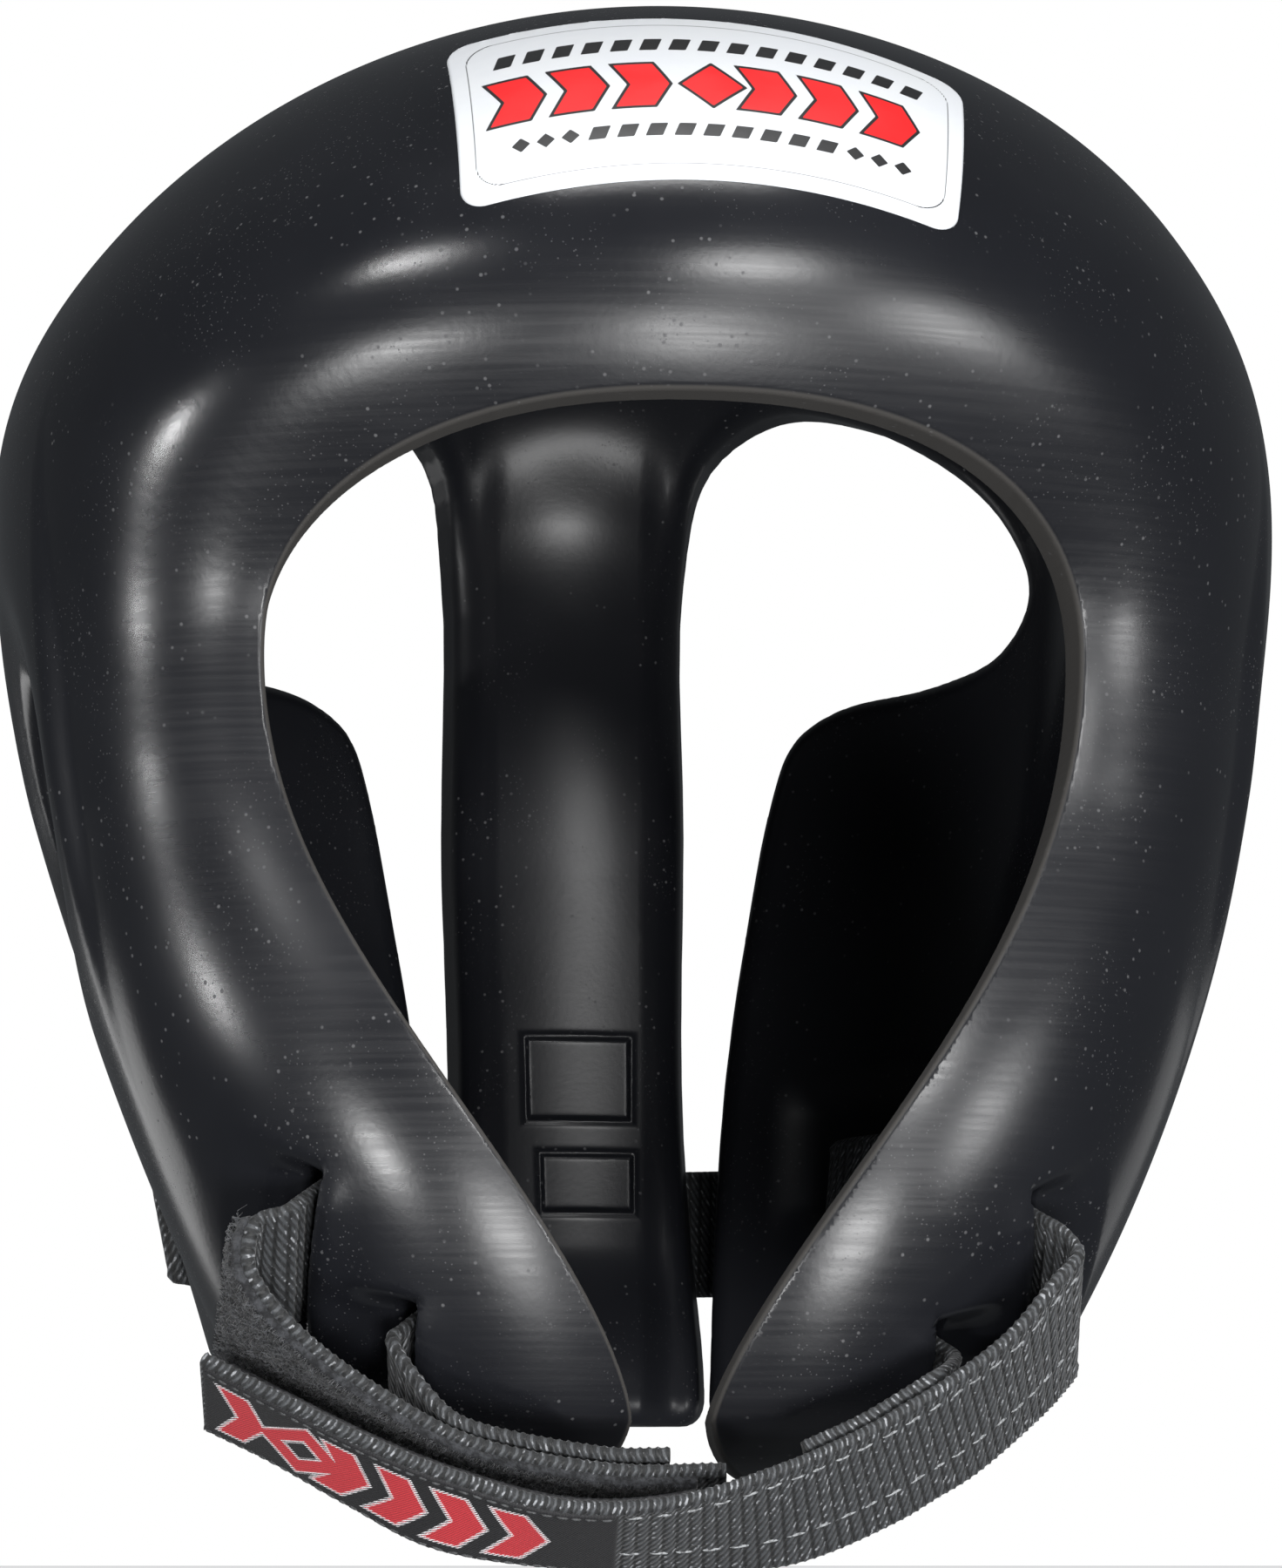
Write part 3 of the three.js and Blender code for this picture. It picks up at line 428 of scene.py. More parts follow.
def wall_thickness(x, y, z):
    """The foam's thickness under a place on the outer skin."""
    wall = mix(WALL_FRONT, WALL_SIDE, np.minimum(np.abs(x) / HALF_WIDTH, 1) ** 2)
    wall = mix(wall, WALL_CROWN, smooth(*CROWN_FADE, z))
    lower = mix(WALL_RIM, WALL_CHEEK, smooth(*CHEEK_FADE, y))
    wall = mix(wall, lower, smooth(*LOWER_FADE, z))
    return mix(wall, WALL_BACK, smooth(*BACK_FADE, y))


def frames_relief(turn, z):
    """The two blank frames moulded into the strip: a sunk field inside a raised line."""
    relief = 0.0
    for left, right, top, bottom in STRIP_FRAMES:
        beside = np.abs(turn - (left + right) / 2) - (right - left) / 2
        above = np.abs(z - (top + bottom) / 2) - (top - bottom) / 2
        edge = np.maximum(beside, above)
        relief = relief + FRAME_RIDGE * bump(edge, FRAME_LINE) - FRAME_DEPTH * smooth(0.0, -1.0, edge)
    return relief


def back_relief(turn, arc, z):
    """What the wall gains on its inner side at the back, with the strip's crown, the nape pad and the
    frames, less the pocket in each lobe where the webbing passes between its two slots."""
    strip = 1 - smooth(*STRIP_FADE, arc)
    crowned = 1 - np.minimum(arc / STRIP_HALF_WIDTH, 1) ** 2
    relief = (STRIP_CROWN * crowned * smooth(*STRIP_TOP_FADE, z) + NAPE_PAD * smooth(*NAPE_FADE, z)) * strip
    pocket_width = 1 - smooth(*POCKET_FADE, np.abs(np.abs(turn) - POCKET_ARC) - POCKET_HALF_ARC)
    pocket_height = 1 - smooth(*POCKET_FADE, np.abs(z - POCKET_Z) - POCKET_HALF_Z)
    return relief + frames_relief(turn, z) - POCKET_DEPTH * pocket_width * pocket_height


def slot_distance(slot, x, y, z):
    """Distance to a slot's outline on the skin, and the height over the skin."""
    along, across, out = slot.local(x, y, z)
    reach = np.maximum(np.abs(along) - slot.length / 2 + SLOT_GAP / 2, 0)
    return np.hypot(reach, across) - SLOT_GAP / 2, out


def ear_distance(y, z):
    """Distance to the oval outline of an ear opening, seen from the side."""
    round_ear = np.hypot((y - EAR_Y) / EAR_HALF_Y, (z - EAR_Z) / EAR_HALF_Z) - 1
    return round_ear * (EAR_HALF_Y + EAR_HALF_Z) / 2


def dented_skin(outer, x, y, z):
    """The outer skin with the dishes beside its slots and the dent round each ear opening."""
    for (_, kind), slot in SLOTS.items():
        depth, reach = CHIN_DISH if kind.startswith("chin") else REAR_DISH
        outer = outer + dish(slot, x, y, z, depth, reach)
    beside = smooth(*EAR_SIDE_FADE, np.abs(x))
    return outer + EAR_DENT * bump(np.maximum(ear_distance(y, z), 0), EAR_DENT_REACH) * beside


def shell_distance(x, y, z):
    """Distance to the shell's surface, negative inside the foam."""
    level, width_term, depth_term, height_term = skin_level(x, y, z)
    level = np.maximum(level, 0.05)
    slope = np.sqrt((x * width_term) ** 2 + (y * depth_term) ** 2 + (z * height_term) ** 2) / level
    outer = (level - 1) / slope
    turn = WINDOW_RADIUS * np.arctan2(x, y)
    arc = np.abs(turn - WINDOW_SHIFT)
    inner = outer + wall_thickness(x / level, y / level, z / level)
    inner = inner + back_relief(turn, arc, z) * smooth(*BEHIND_FADE, y)

    # the skin rolls down to a thin edge round the face opening
    gap = FACE(x, z)
    in_front = smooth(*RIM_FADE, y)
    allowed = RIM_EDGE + RIM_SLOPE * np.maximum(gap, -4) + 70 * (1 - in_front)
    rolled = (inner - allowed) / math.hypot(1, RIM_SLOPE)
    body = soft_max(dented_skin(outer, x, y, z), rolled, RIM_SOFTNESS)
    body = round_cut(body, -inner, INNER_EDGE)

    # openings: neck, rear windows, ears, slots and face
    lowest = mix(NECK_CHIN, NECK_SIDES, smooth(*NECK_FADE, y))
    at_nape = smooth(*NAPE_SIDE_FADE, np.abs(x)) * smooth(*NAPE_DEPTH_FADE, y)
    lowest = mix(lowest, NECK_NAPE, at_nape)
    body = round_cut(body, lowest - z, NECK_EDGE)
    window = np.maximum(WINDOW_SHAPE(arc, z), WINDOW_FRONT - y)
    body = round_cut(body, -window, WINDOW_EDGE)
    body = round_cut(body, -np.maximum(ear_distance(y, z), 40 - np.abs(x)), EAR_EDGE)
    for slot in SLOTS.values():
        beside, out = slot_distance(slot, x, y, z)
        body = round_cut(body, -np.maximum(beside, np.abs(out + SLOT_OFFSET) - SLOT_REACH), SLOT_EDGE)
    return round_cut(body, -np.maximum(gap, y + 10), FACE_EDGE)


def shell_normal(points, step=0.25):
    """Unit gradient of the shell's distance, and its length, at points."""
    gradient = np.empty_like(points)
    for axis in range(3):
        offset = np.zeros(3)
        offset[axis] = step
        ahead = shell_distance(*(points + offset).T)
        behind = shell_distance(*(points - offset).T)
        gradient[:, axis] = (ahead - behind) / (2 * step)
    length = np.maximum(np.linalg.norm(gradient, axis=1), 1e-6)
    return gradient / length[:, None], length


def onto_shell(points, passes=3, most=0.8):
    """Points moved along the shell's normals until they lie on its surface."""
    for _ in range(passes):
        normal, length = shell_normal(points)
        move = np.clip(shell_distance(*points.T) / length, -most, most)
        points = points - normal * move[:, None]
    return points


# ---------- a mesh from a distance field ----------
def surface_nets(field, low, high, step):
    """Quads on the zero level of a field: one point per grid cell that the level passes through."""
    axes = [np.arange(a, b + step, step) for a, b in zip(low, high)]
    x, y = np.meshgrid(axes[0], axes[1], indexing="ij")
    values = np.empty((len(axes[0]), len(axes[1]), len(axes[2])), np.float32)
    for k, height in enumerate(axes[2]):
        values[:, :, k] = field(x, y, np.full_like(x, height))
    inside = values < 0
    cells = [n - 1 for n in values.shape]
    corners = [(i, j, k) for i in (0, 1) for j in (0, 1) for k in (0, 1)]
    filled = np.zeros(cells, np.int8)
    for i, j, k in corners:
        filled += inside[i:cells[0] + i, j:cells[1] + j, k:cells[2] + k]
    active = (filled > 0) & (filled < 8)
    where = np.argwhere(active)
    number = np.full(cells, -1, np.int32)
    number[active] = np.arange(len(where))
    total = np.zeros((len(where), 3))
    hits = np.zeros(len(where))
    for start in corners:
        for axis in range(3):
            if start[axis]:
                continue
            end = list(start)
            end[axis] = 1
            a = values[tuple((where + start).T)].astype(float)
            b = values[tuple((where + end).T)].astype(float)
            crossed = (a < 0) != (b < 0)
            point = np.tile(np.array(start, float), (len(where), 1))
            point[crossed, axis] = (a / (a - b + 1e-20))[crossed]
            total[crossed] += point[crossed]
            hits[crossed] += 1
    points = (where + total / hits[:, None]) * step + np.array(low)
    quads = []
    for axis in range(3):
        u, v = (axis + 1) % 3, (axis + 2) % 3
        low_side = np.take(inside, range(0, inside.shape[axis] - 1), axis=axis)
        high_side = np.take(inside, range(1, inside.shape[axis]), axis=axis)
        edges = np.argwhere(low_side != high_side)
        edges = edges[(edges[:, u] > 0) & (edges[:, v] > 0)
                      & (edges[:, u] < cells[u]) & (edges[:, v] < cells[v])]
        solid_below = low_side[tuple(edges.T)]
        ring = []
        for du, dv in ((-1, -1), (0, -1), (0, 0), (-1, 0)):
            cell = edges.copy()
            cell[:, u] += du
            cell[:, v] += dv
            ring.append(number[tuple(cell.T)])
        ring = np.stack(ring, axis=1)
        ring[~solid_below] = ring[~solid_below][:, ::-1]
        quads.append(ring)
    return points, np.vstack(quads)


def linked(name, data):
    """A new object in the scene that shows a mesh, a lamp or a camera."""
    obj = bpy.data.objects.new(name, data)
    bpy.context.scene.collection.objects.link(obj)
    return obj


def store(mesh, name, values):
    """Keep a number for each point of a mesh, for its material to read."""
    attribute = mesh.attributes.new(name, "FLOAT", "POINT")
    attribute.data.foreach_set("value", np.asarray(values, np.float32))


def new_mesh(name, points, faces):
    """A smooth Blender object from points in millimetres and faces."""
    mesh = bpy.data.meshes.new(name)
    mesh.from_pydata((np.asarray(points) * MM).tolist(), [], [list(map(int, f)) for f in faces])
    mesh.polygons.foreach_set("use_smooth", [True] * len(mesh.polygons))
    mesh.update()
    return linked(name, mesh)


def refine(built, near, rounds):
    """Split the faces whose points are near, and put the points there back on the shell."""
    for _ in range(rounds):
        built.verts.ensure_lookup_table()
        chosen = near(np.array([v.co for v in built.verts]))
        edges = [e for e in built.edges if chosen[e.verts[0].index] or chosen[e.verts[1].index]]
        bmesh.ops.subdivide_edges(built, edges=edges, cuts=1, use_grid_fill=True)
        built.verts.index_update()
        built.verts.ensure_lookup_table()
        co = np.array([v.co for v in built.verts])
        there = np.flatnonzero(near(co))
        for i, p in zip(there, onto_shell(co[there], passes=2, most=0.5).tolist()):
            built.verts[i].co = p


def by_rim(co):
    """The crease between the rolled skin and the cut edge of the face opening, and the slots' lips."""
    x, y, z = co.T
    rim = (np.abs(FACE(x, z)) < 1.8) & (y < -12)
    for slot in SLOTS.values():
        beside, out = slot_distance(slot, x, y, z)
        rim |= (np.abs(beside) < 2.0) & (np.abs(out) < 12)
    return rim


def by_frames(co):
    """The moulded frames on the inner side of the centre strip."""
    x, y, z = co.T
    turn = WINDOW_RADIUS * np.arctan2(x, y)
    return (np.abs(turn + 1.3) < 14) & (np.abs(z + 98.5) < 20) & (y > 60) & (y < 96)


def build_shell():
    points, quads = surface_nets(shell_distance, GRID_LOW, GRID_HIGH, GRID)
    points = onto_shell(points)
    built = bmesh.new()
    verts = [built.verts.new(p) for p in points.tolist()]
    for quad in quads:
        built.faces.new([verts[i] for i in quad])
    refine(built, by_rim, 2)
    refine(built, by_frames, 2)
    mesh = bpy.data.meshes.new("foam_shell")
    bmesh.ops.recalc_face_normals(built, faces=built.faces)
    built.to_mesh(mesh)
    built.free()
    co = np.array([v.co for v in mesh.vertices])
    mesh.polygons.foreach_set("use_smooth", [True] * len(mesh.polygons))
    x, y, z = co.T
    store(mesh, "face_gap", np.where(y < -10, FACE(x, z), 99.0))
    normals, _ = shell_normal(co, 0.2)
    mesh.transform(Matrix.Scale(MM, 4))
    mesh.normals_split_custom_set_from_vertices(normals.tolist())
    return linked("foam_shell", mesh)


# ---------- materials ----------
class Look:
    """A procedural material with a few short ways to add nodes and to feed one from another."""

    def __init__(self, name, roughness):
        self.data = bpy.data.materials.new(name)
        self.data.use_nodes = True
        self.tree = self.data.node_tree
        self.shader = self.tree.nodes["Principled BSDF"]
        self.set("Roughness", roughness)
        self.place = self.node("TexCoord").outputs["Object"]

    def set(self, socket, value):
        self.feed(self.shader.inputs[socket], value)

    def feed(self, socket, value):
        if isinstance(value, bpy.types.NodeSocket):
            self.tree.links.new(value, socket)
        else:
            socket.default_value = value

    def node(self, kind, values=None, **settings):
        node = self.tree.nodes.new("ShaderNode" + kind)
        for key, value in settings.items():
            setattr(node, key, value)
        for key, value in (values or {}).items():
            self.feed(node.inputs[key], value)
        return node

    def number(self, name):
        return self.node("Attribute", attribute_name=name).outputs["Fac"]

    def math(self, operation, a, b=0.0):
        return self.node("Math", {0: a, 1: b}, operation=operation).outputs[0]

    def plus(self, a, b):
        return self.math("ADD", a, b)

    def times(self, a, b):
        return self.math("MULTIPLY", a, b)

    def wave(self, value, length):
        return self.math("SINE", self.times(value, 2 * math.pi / length))

    def noise(self, scale, detail=3.0, place=None):
        values = {"Vector": place or self.place, "Scale": scale, "Detail": detail}
        return self.node("TexNoise", values).outputs["Fac"]

    def speck(self, scale):
        return self.node("TexVoronoi", {"Vector": self.place, "Scale": scale}).outputs["Distance"]

    def scale(self, value, start, end, low=0.0, high=1.0):
        values = {"Value": value, "From Min": start, "From Max": end, "To Min": low, "To Max": high}
        return self.node("MapRange", values, interpolation_type="SMOOTHSTEP").outputs["Result"]

    def colours(self, factor, a, b):
        node = self.node("Mix", {0: factor}, data_type="RGBA")
        self.feed(node.inputs[6], a if isinstance(a, bpy.types.NodeSocket) else (*a, 1))
        self.feed(node.inputs[7], b if isinstance(b, bpy.types.NodeSocket) else (*b, 1))
        return node.outputs[2]

    def bump(self, height, distance, strength=1.0):
        values = {"Height": height, "Distance": distance, "Strength": strength}
        self.set("Normal", self.node("Bump", values).outputs["Normal"])


def foam_material():
    """Semi-gloss moulded skin: fine grain, brushed towards the face opening, matt where it is cut."""
    look = Look("foam", 0.3)
    gap = look.number("face_gap")
    stretched = look.node("Mapping", {"Vector": look.place, "Scale": (28.0, 28.0, 1100.0)}).outputs[0]
    streaks = look.noise(1.0, 4.0, stretched)
    patches = look.noise(26.0, 3.0)
    rolled = look.scale(gap, 34.0, 6.0)
    cut = look.scale(look.math("ABSOLUTE", gap), 0.9, 0.35)
    specks = look.scale(look.speck(420.0), 0.17, 0.06)
    coarse = look.times(specks, look.scale(look.noise(60.0), 0.45, 0.6))
    specks = look.scale(look.speck(1100.0), 0.2, 0.1)
    fine = look.times(specks, look.scale(look.noise(45.0), 0.45, 0.62))
    dust = look.math("MAXIMUM", coarse, look.times(fine, 0.6))
    brushed = look.times(rolled, look.scale(streaks, 0.34, 0.68, 0.11, 0.17))
    depth = look.node("SeparateXYZ", {"Vector": look.place}).outputs["Y"]
    inside = look.scale(depth, 0.02, 0.07, 0.0, 0.13)
    rough = look.plus(look.scale(patches, 0.3, 0.7, 0.17, 0.23), look.plus(brushed, inside))
    rough = look.plus(rough, look.times(cut, 0.4))
    look.set("Roughness", look.plus(rough, look.times(dust, 0.3)))
    look.set("Specular IOR Level", look.scale(depth, 0.02, 0.07, 0.5, 0.26))
    skin = look.colours(patches, FOAM_DARK, FOAM_LIGHT)
    worn = look.colours(look.times(brushed, 1.6), skin, FOAM_BRUSHED)
    edged = look.colours(cut, worn, FOAM_CUT)
    look.set("Base Color", look.colours(look.times(dust, 0.55), edged, DUST))
    grain = look.plus(look.noise(900.0, 2.0), look.times(look.noise(120.0, 2.0), 0.8))
    scratched = look.plus(grain, look.times(look.times(streaks, rolled), 0.25))
    look.bump(scratched, 0.00012, 0.12)
    return look.data


def webbing_material():
    """Dark grey ribbed cloth: slanted yarns with light glints on their tops, painted shade between the ribs.
    """
    look = Look("webbing", 0.7)
    run, across = look.number("run"), look.number("across")
    slant = look.plus(look.times(run, 2 * math.pi / 1.1), look.times(across, 3.4))
    weft = look.wave(run, WEBBING_RIB)
    rib = look.math("ABSOLUTE", look.wave(run, 2 * WEBBING_RIB))
    yarn = look.times(look.math("SINE", slant), look.plus(look.math("ABSOLUTE", weft), 0.3))
    fuzz = look.noise(2400.0, 4.0)
    tone = look.plus(look.times(look.scale(yarn, -1.0, 1.0), 0.6), look.times(fuzz, 0.5))
    cloth = look.colours(look.scale(tone, 0.2, 0.85), WEBBING_DARK, WEBBING_LIGHT)
    # painted shade: the cloth is darkened in the grooves between its ribs
    cloth = look.colours(look.scale(rib, 0.2, 0.75), WEBBING_PAINTED_GROOVE_SHADE, cloth)
    glint = look.scale(look.times(tone, look.noise(700.0, 1.0)), 0.46, 0.58)
    look.set("Base Color", look.colours(look.times(glint, 0.7), cloth, WEBBING_GLINT))
    look.set("Roughness", look.scale(tone, 0.2, 0.9, 0.75, 0.5))
    look.set("Sheen Weight", 0.12)
    look.bump(tone, 0.0004, 0.7)
    return look.data


def thread_material(name, colour):
    """Twisted thread, with painted shade in its grooves."""
    look = Look(name, 0.6)
    twist = look.noise(1800.0, 2.0)
    # painted shade: the thread's colour is darker where its twist sinks in
    shade = tuple(0.35 * c for c in colour)
    look.set("Base Color", look.colours(look.scale(twist, 0.35, 0.6), shade, colour))
    look.bump(twist, 0.0002, 0.6)
    return look.data


def pile_material():
    """Matted loops: near black with dusty grey tufts."""
    look = Look("pile", 0.95)
    tufts = look.plus(look.noise(500.0, 5.0), look.times(look.noise(1900.0, 4.0), 0.5))
    look.set("Base Color", look.colours(look.scale(tufts, 0.62, 0.95), PILE_DARK, PILE_LIGHT))
    look.set("Sheen Weight", 0.15)
    look.bump(tufts, 0.0009, 0.9)
    return look.data


def fuzz_material():
    """Loose grey fibres."""
    look = Look("fuzz", 0.8)
    look.set("Base Color", look.colours(look.scale(look.noise(800.0, 2.0), 0.4, 0.62), PILE_DARK, FUZZ_LIGHT))
    look.set("Sheen Weight", 0.3)
    return look.data


def hook_material():
    """Dark plastic hooks with a fine grit."""
    look = Look("hooks", 0.55)
    grit = look.noise(1500.0, 3.0)
    look.set("Base Color", look.colours(look.scale(grit, 0.4, 0.65), HOOK_DARK, HOOK_LIGHT))
    look.bump(grit, 0.0003, 0.6)
    return look.data


def tab_material():
    """Black woven satin with red figures, each edged by a row of tiny white stitches."""
    look = Look("tab_cloth", 0.7)
    run, across, mark = look.number("run"), look.number("across"), look.number("mark")
    weave = look.math("SINE", look.times(look.plus(run, look.times(across, 0.6)), 12.0))
    fuzz = look.noise(2200.0, 3.0)
    ground = look.colours(look.times(fuzz, 0.6), TAB_BLACK, TAB_GREY)
    figure = look.colours(look.scale(weave, -1.0, 1.0, 0.15, 0.85), TAB_RED_DARK, TAB_RED)
    painted = look.colours(look.scale(mark, 0.08, -0.08), ground, figure)
    beads = look.wave(look.plus(run, across), 0.75)
    beside = look.scale(look.math("ABSOLUTE", mark), 0.5, 0.34)
    outline = look.times(beside, look.scale(beads, -0.5, 0.2))
    look.set("Base Color", look.colours(outline, painted, TAB_WHITE))
    look.set("Roughness", look.scale(fuzz, 0.3, 0.7, 0.6, 0.8))
    look.set("Sheen Weight", 0.05)
    height = look.plus(look.times(weave, 0.3), look.plus(fuzz, outline))
    look.bump(height, 0.00025, 0.5)
    return look.data


def label_material():
    """White printed vinyl: red and black inks laid on where the printed shapes are."""
    look = Look("label_vinyl", 0.42)
    red, black = look.number("red"), look.number("black")
    wear = look.noise(90.0, 3.0)
    white = look.colours(look.scale(wear, 0.3, 0.7), LABEL_WHITE, LABEL_SHADE)
    inked = look.colours(look.scale(red, 0.05, -0.05), white, LABEL_RED)
    look.set("Base Color", look.colours(look.scale(black, 0.05, -0.05), inked, LABEL_BLACK))
    look.set("Roughness", look.scale(wear, 0.3, 0.7, 0.38, 0.5))
    look.set("Coat Weight", 0.15)
    look.bump(look.noise(700.0, 2.0), 0.00008, 0.3)
    return look.data


# ---------- printed and woven figures ----------
def chevron(u, v, middle, half_length, half_height, slant):
    """Signed distance to an upright block whose two ends are arrow-shaped."""
    along = u - middle + slant * np.abs(v)
    steep = math.hypot(1, slant)
    return np.maximum((np.abs(along) - half_length) / steep, np.abs(v) - half_height)


def diamond(u, v, middle, size):
    return (np.abs(u - middle) + np.abs(v) - size) / math.sqrt(2)


def tab_mark(start, end, run, across):
    """Chevrons on the tab label, with one diamond among them."""
    pitch = (end - start - 14) / TAB_FIGURES
    shape = np.full_like(run, 99.0)
    for i in range(TAB_FIGURES):
        middle = start + 9 + pitch * (i + 0.5)
        if i == TAB_DIAMOND:
            figure = np.maximum(diamond(run, across, middle, 9.0), -diamond(run, across, middle, 3.6))
        else:
            figure = chevron(run, across, middle, pitch * 0.3, 8.2, -0.5)
        shape = np.minimum(shape, figure)
    return shape


def skin_from_front(x, z):
    """The first point of the shell that a line from the front meets, as y."""
    outside = np.full(x.shape, -125.0)
    for _ in range(60):
        free = shell_distance(x, outside, z) > 1.5
        outside = np.where(free, outside + 1.4, outside)
    inside = outside + 3.0
    for _ in range(16):
        middle = (outside + inside) / 2
        free = shell_distance(x, middle, z) > 0
        outside = np.where(free, middle, outside)
        inside = np.where(free, inside, middle)
    return outside


def rounded_box(u, v, half_u, half_v, corner):
    du = np.abs(u) - half_u + corner
    dv = np.abs(v) - half_v + corner
    return np.hypot(np.maximum(du, 0), np.maximum(dv, 0)) + np.minimum(np.maximum(du, dv), 0) - corner


def label_inks(u, v):
    """Signed distances of the red and the black print, on the label's own flat sheet."""
    red = diamond(u, v - ARROW_LIFT, 0.0, ARROW_HALF_HEIGHT)
    for i in (-3, -2, -1, 1, 2, 3):
        arrow = chevron(u, v - ARROW_LIFT, i * ARROW_PITCH, ARROW_HALF_LENGTH, ARROW_HALF_HEIGHT, 0.5)
        red = np.minimum(red, arrow)
    black = np.abs(red) - ARROW_OUTLINE
    border = rounded_box(u, v, LABEL_WIDTH / 2 - BORDER_INSET, LABEL_HEIGHT / 2 - BORDER_INSET, BORDER_CORNER)
    black = np.minimum(black, np.abs(border) - BORDER_LINE / 2)
    for count, height, half_height in BAR_ROWS:
        above = v - height
        for i in range(count):
            middle = (i - count // 2) * BAR_PITCH
            bar = chevron(u - BAR_LEAN * above, above, middle, BAR_HALF_LENGTH, half_height, 0.0)
            black = np.minimum(black, bar)
    for side in (-1, 1):
        for i in range(3):
            middle = side * (DOT_START + DOT_PITCH * i)
            black = np.minimum(black, diamond(u, v - BAR_ROWS[1][1], middle, DOT_SIZE))
    return red, black


def label_sheet():
    """A flat grid of places on the label, its four corners pulled in to round ones."""
    columns, rows = LABEL_GRID
    u, v = np.meshgrid(np.linspace(-1, 1, columns), np.linspace(-1, 1, rows), indexing="xy")
    u, v = u * LABEL_WIDTH / 2, v * LABEL_HEIGHT / 2
    in_u = np.maximum(np.abs(u) - LABEL_WIDTH / 2 + LABEL_CORNER, 0)
    in_v = np.maximum(np.abs(v) - LABEL_HEIGHT / 2 + LABEL_CORNER, 0)
    pulled = np.maximum(in_u, in_v) / np.maximum(np.hypot(in_u, in_v), 1e-9)
    corner = (in_u > 0) & (in_v > 0)
    u = np.where(corner, np.sign(u) * (LABEL_WIDTH / 2 - LABEL_CORNER + in_u * pulled), u)
    v = np.where(corner, np.sign(v) * (LABEL_HEIGHT / 2 - LABEL_CORNER + in_v * pulled), v)
    return u, v


def label_on_skin(u, v):
    """Where the label's flat places lie on the shell."""
    s = u / LABEL_WIDTH + 0.5
    t = v / LABEL_HEIGHT + 0.5
    bend = 1 - (2 * s - 1) ** 2
    edges = []
    for left, middle, right in (LABEL_BOTTOM, LABEL_TOP):
        edges.append(mix(left, right, s) + (middle - (left + right) / 2) * bend)
    x = mix(LABEL_LEFT, mix(LABEL_RIGHT_BOTTOM, LABEL_RIGHT_TOP, t), s)
    z = mix(edges[0], edges[1], t)
    return np.stack([x, skin_from_front(x, z), z], -1)


def build_label():
    u, v = label_sheet()
    skin = label_on_skin(u, v)
    normal = shell_normal(skin.reshape(-1, 3), 0.5)[0].reshape(skin.shape)
    edge = rounded_box(u, v, LABEL_WIDTH / 2, LABEL_HEIGHT / 2, LABEL_CORNER)
    lift = LABEL_LIFT * quarter_round(-edge, 0.5, 0.05)
    red, black = label_inks(u, v)
    top = skin + normal * lift[..., None]
    label = slab("forehead_patch", top, skin - normal * LABEL_BURIED, {"red": red, "black": black})
    label.data.materials.append(label_material())
    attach(label, "shell")
    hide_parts("forehead_label")


# ---------- strap shapes ----------
def rear_stations(side, *paths):
    """The edge points of rear straps on one side of the head, from their angles and lifts."""
    heights = (REAR_TOP, REAR_BOTTOM)
    return [[[rear_point(side * angle, z, lift) for z in heights] for angle, lift in path] for path in paths]


class Strap:
    """One half of a closure: a webbing from its leg's end, round the bar between its two slots and
    on to its free end. A place on it is how far along it is, how far across and how high over it."""

    def __init__(self, side, closure, wall, strap, leg, upper_first):
        far, near = SLOTS[side, closure + "_far"], SLOTS[side, closure + "_near"]
        rails = [self.rail(far, near, wall, strap, leg, edge) for edge in (0, 1)]
        if not upper_first:
            rails.reverse()
        self.first, self.second = (catmull_rom(rail, PER_SPAN) for rail in rails)
        middle = (self.first + self.second) / 2
        steps = np.linalg.norm(np.diff(middle, axis=0), axis=1)
        self.run = np.concatenate([[0.0], np.cumsum(steps)])
        self.fold = len(rails[0]) - len(strap)
        self.length = self.run[-1]

    @staticmethod
    def rail(far, near, wall, strap, leg, edge):
        offset = (-0.5 if edge == 0 else 0.5) * WEBBING_WIDTH
        inside = -wall - 0.5
        points = [np.array(station[edge], float) for station in reversed(leg)]
        points += [near.at(offset, depth) for depth in (LEG_HEIGHT, 0.0, -0.6 * wall, inside)]
        for t, depth in ((0.12, inside - 2.1), (0.5, inside - 3.1), (0.88, inside - 2.1)):
            points.append(mix(near.at(offset, depth), far.at(offset, depth), t))
        points += [far.at(offset, depth) for depth in (inside, -0.6 * wall, 0.0, FOLD_HEIGHT)]
        return points + [np.array(station[edge], float) for station in strap]

    def at(self, point):
        """How far along the webbing a point of its strap is, counted from the fold."""
        return float(np.interp((self.fold + point) * PER_SPAN, np.arange(len(self.run)), self.run))

    def edges(self, run):
        """The two edge points at each place along the webbing."""
        rails = (self.first, self.second)
        return [np.stack([np.interp(run, self.run, rail[:, i]) for i in range(3)], -1) for rail in rails]

    def place(self, run, across, lift):
        run, across, lift = np.broadcast_arrays(run, across, lift)
        a, b = self.edges(run)
        a0, b0 = self.edges(run - 0.6)
        a1, b1 = self.edges(run + 0.6)
        along = (a1 - a0) + (b1 - b0)
        span = b - a
        out = np.cross(span, along)
        out /= np.maximum(np.linalg.norm(out, axis=-1, keepdims=True), 1e-9)
        return (a + b) / 2 + span * (across / WEBBING_WIDTH)[..., None] + out * lift[..., None]


def grid_faces(rows, columns, start, turned):
    """The quads between the points of a grid whose first point has the number start."""
    faces = []
    for i in range(rows - 1):
        for j in range(columns - 1):
            a = start + i * columns + j
            face = (a, a + 1, a + columns + 1, a + columns)
            faces.append(face[::-1] if turned else face)
    return faces


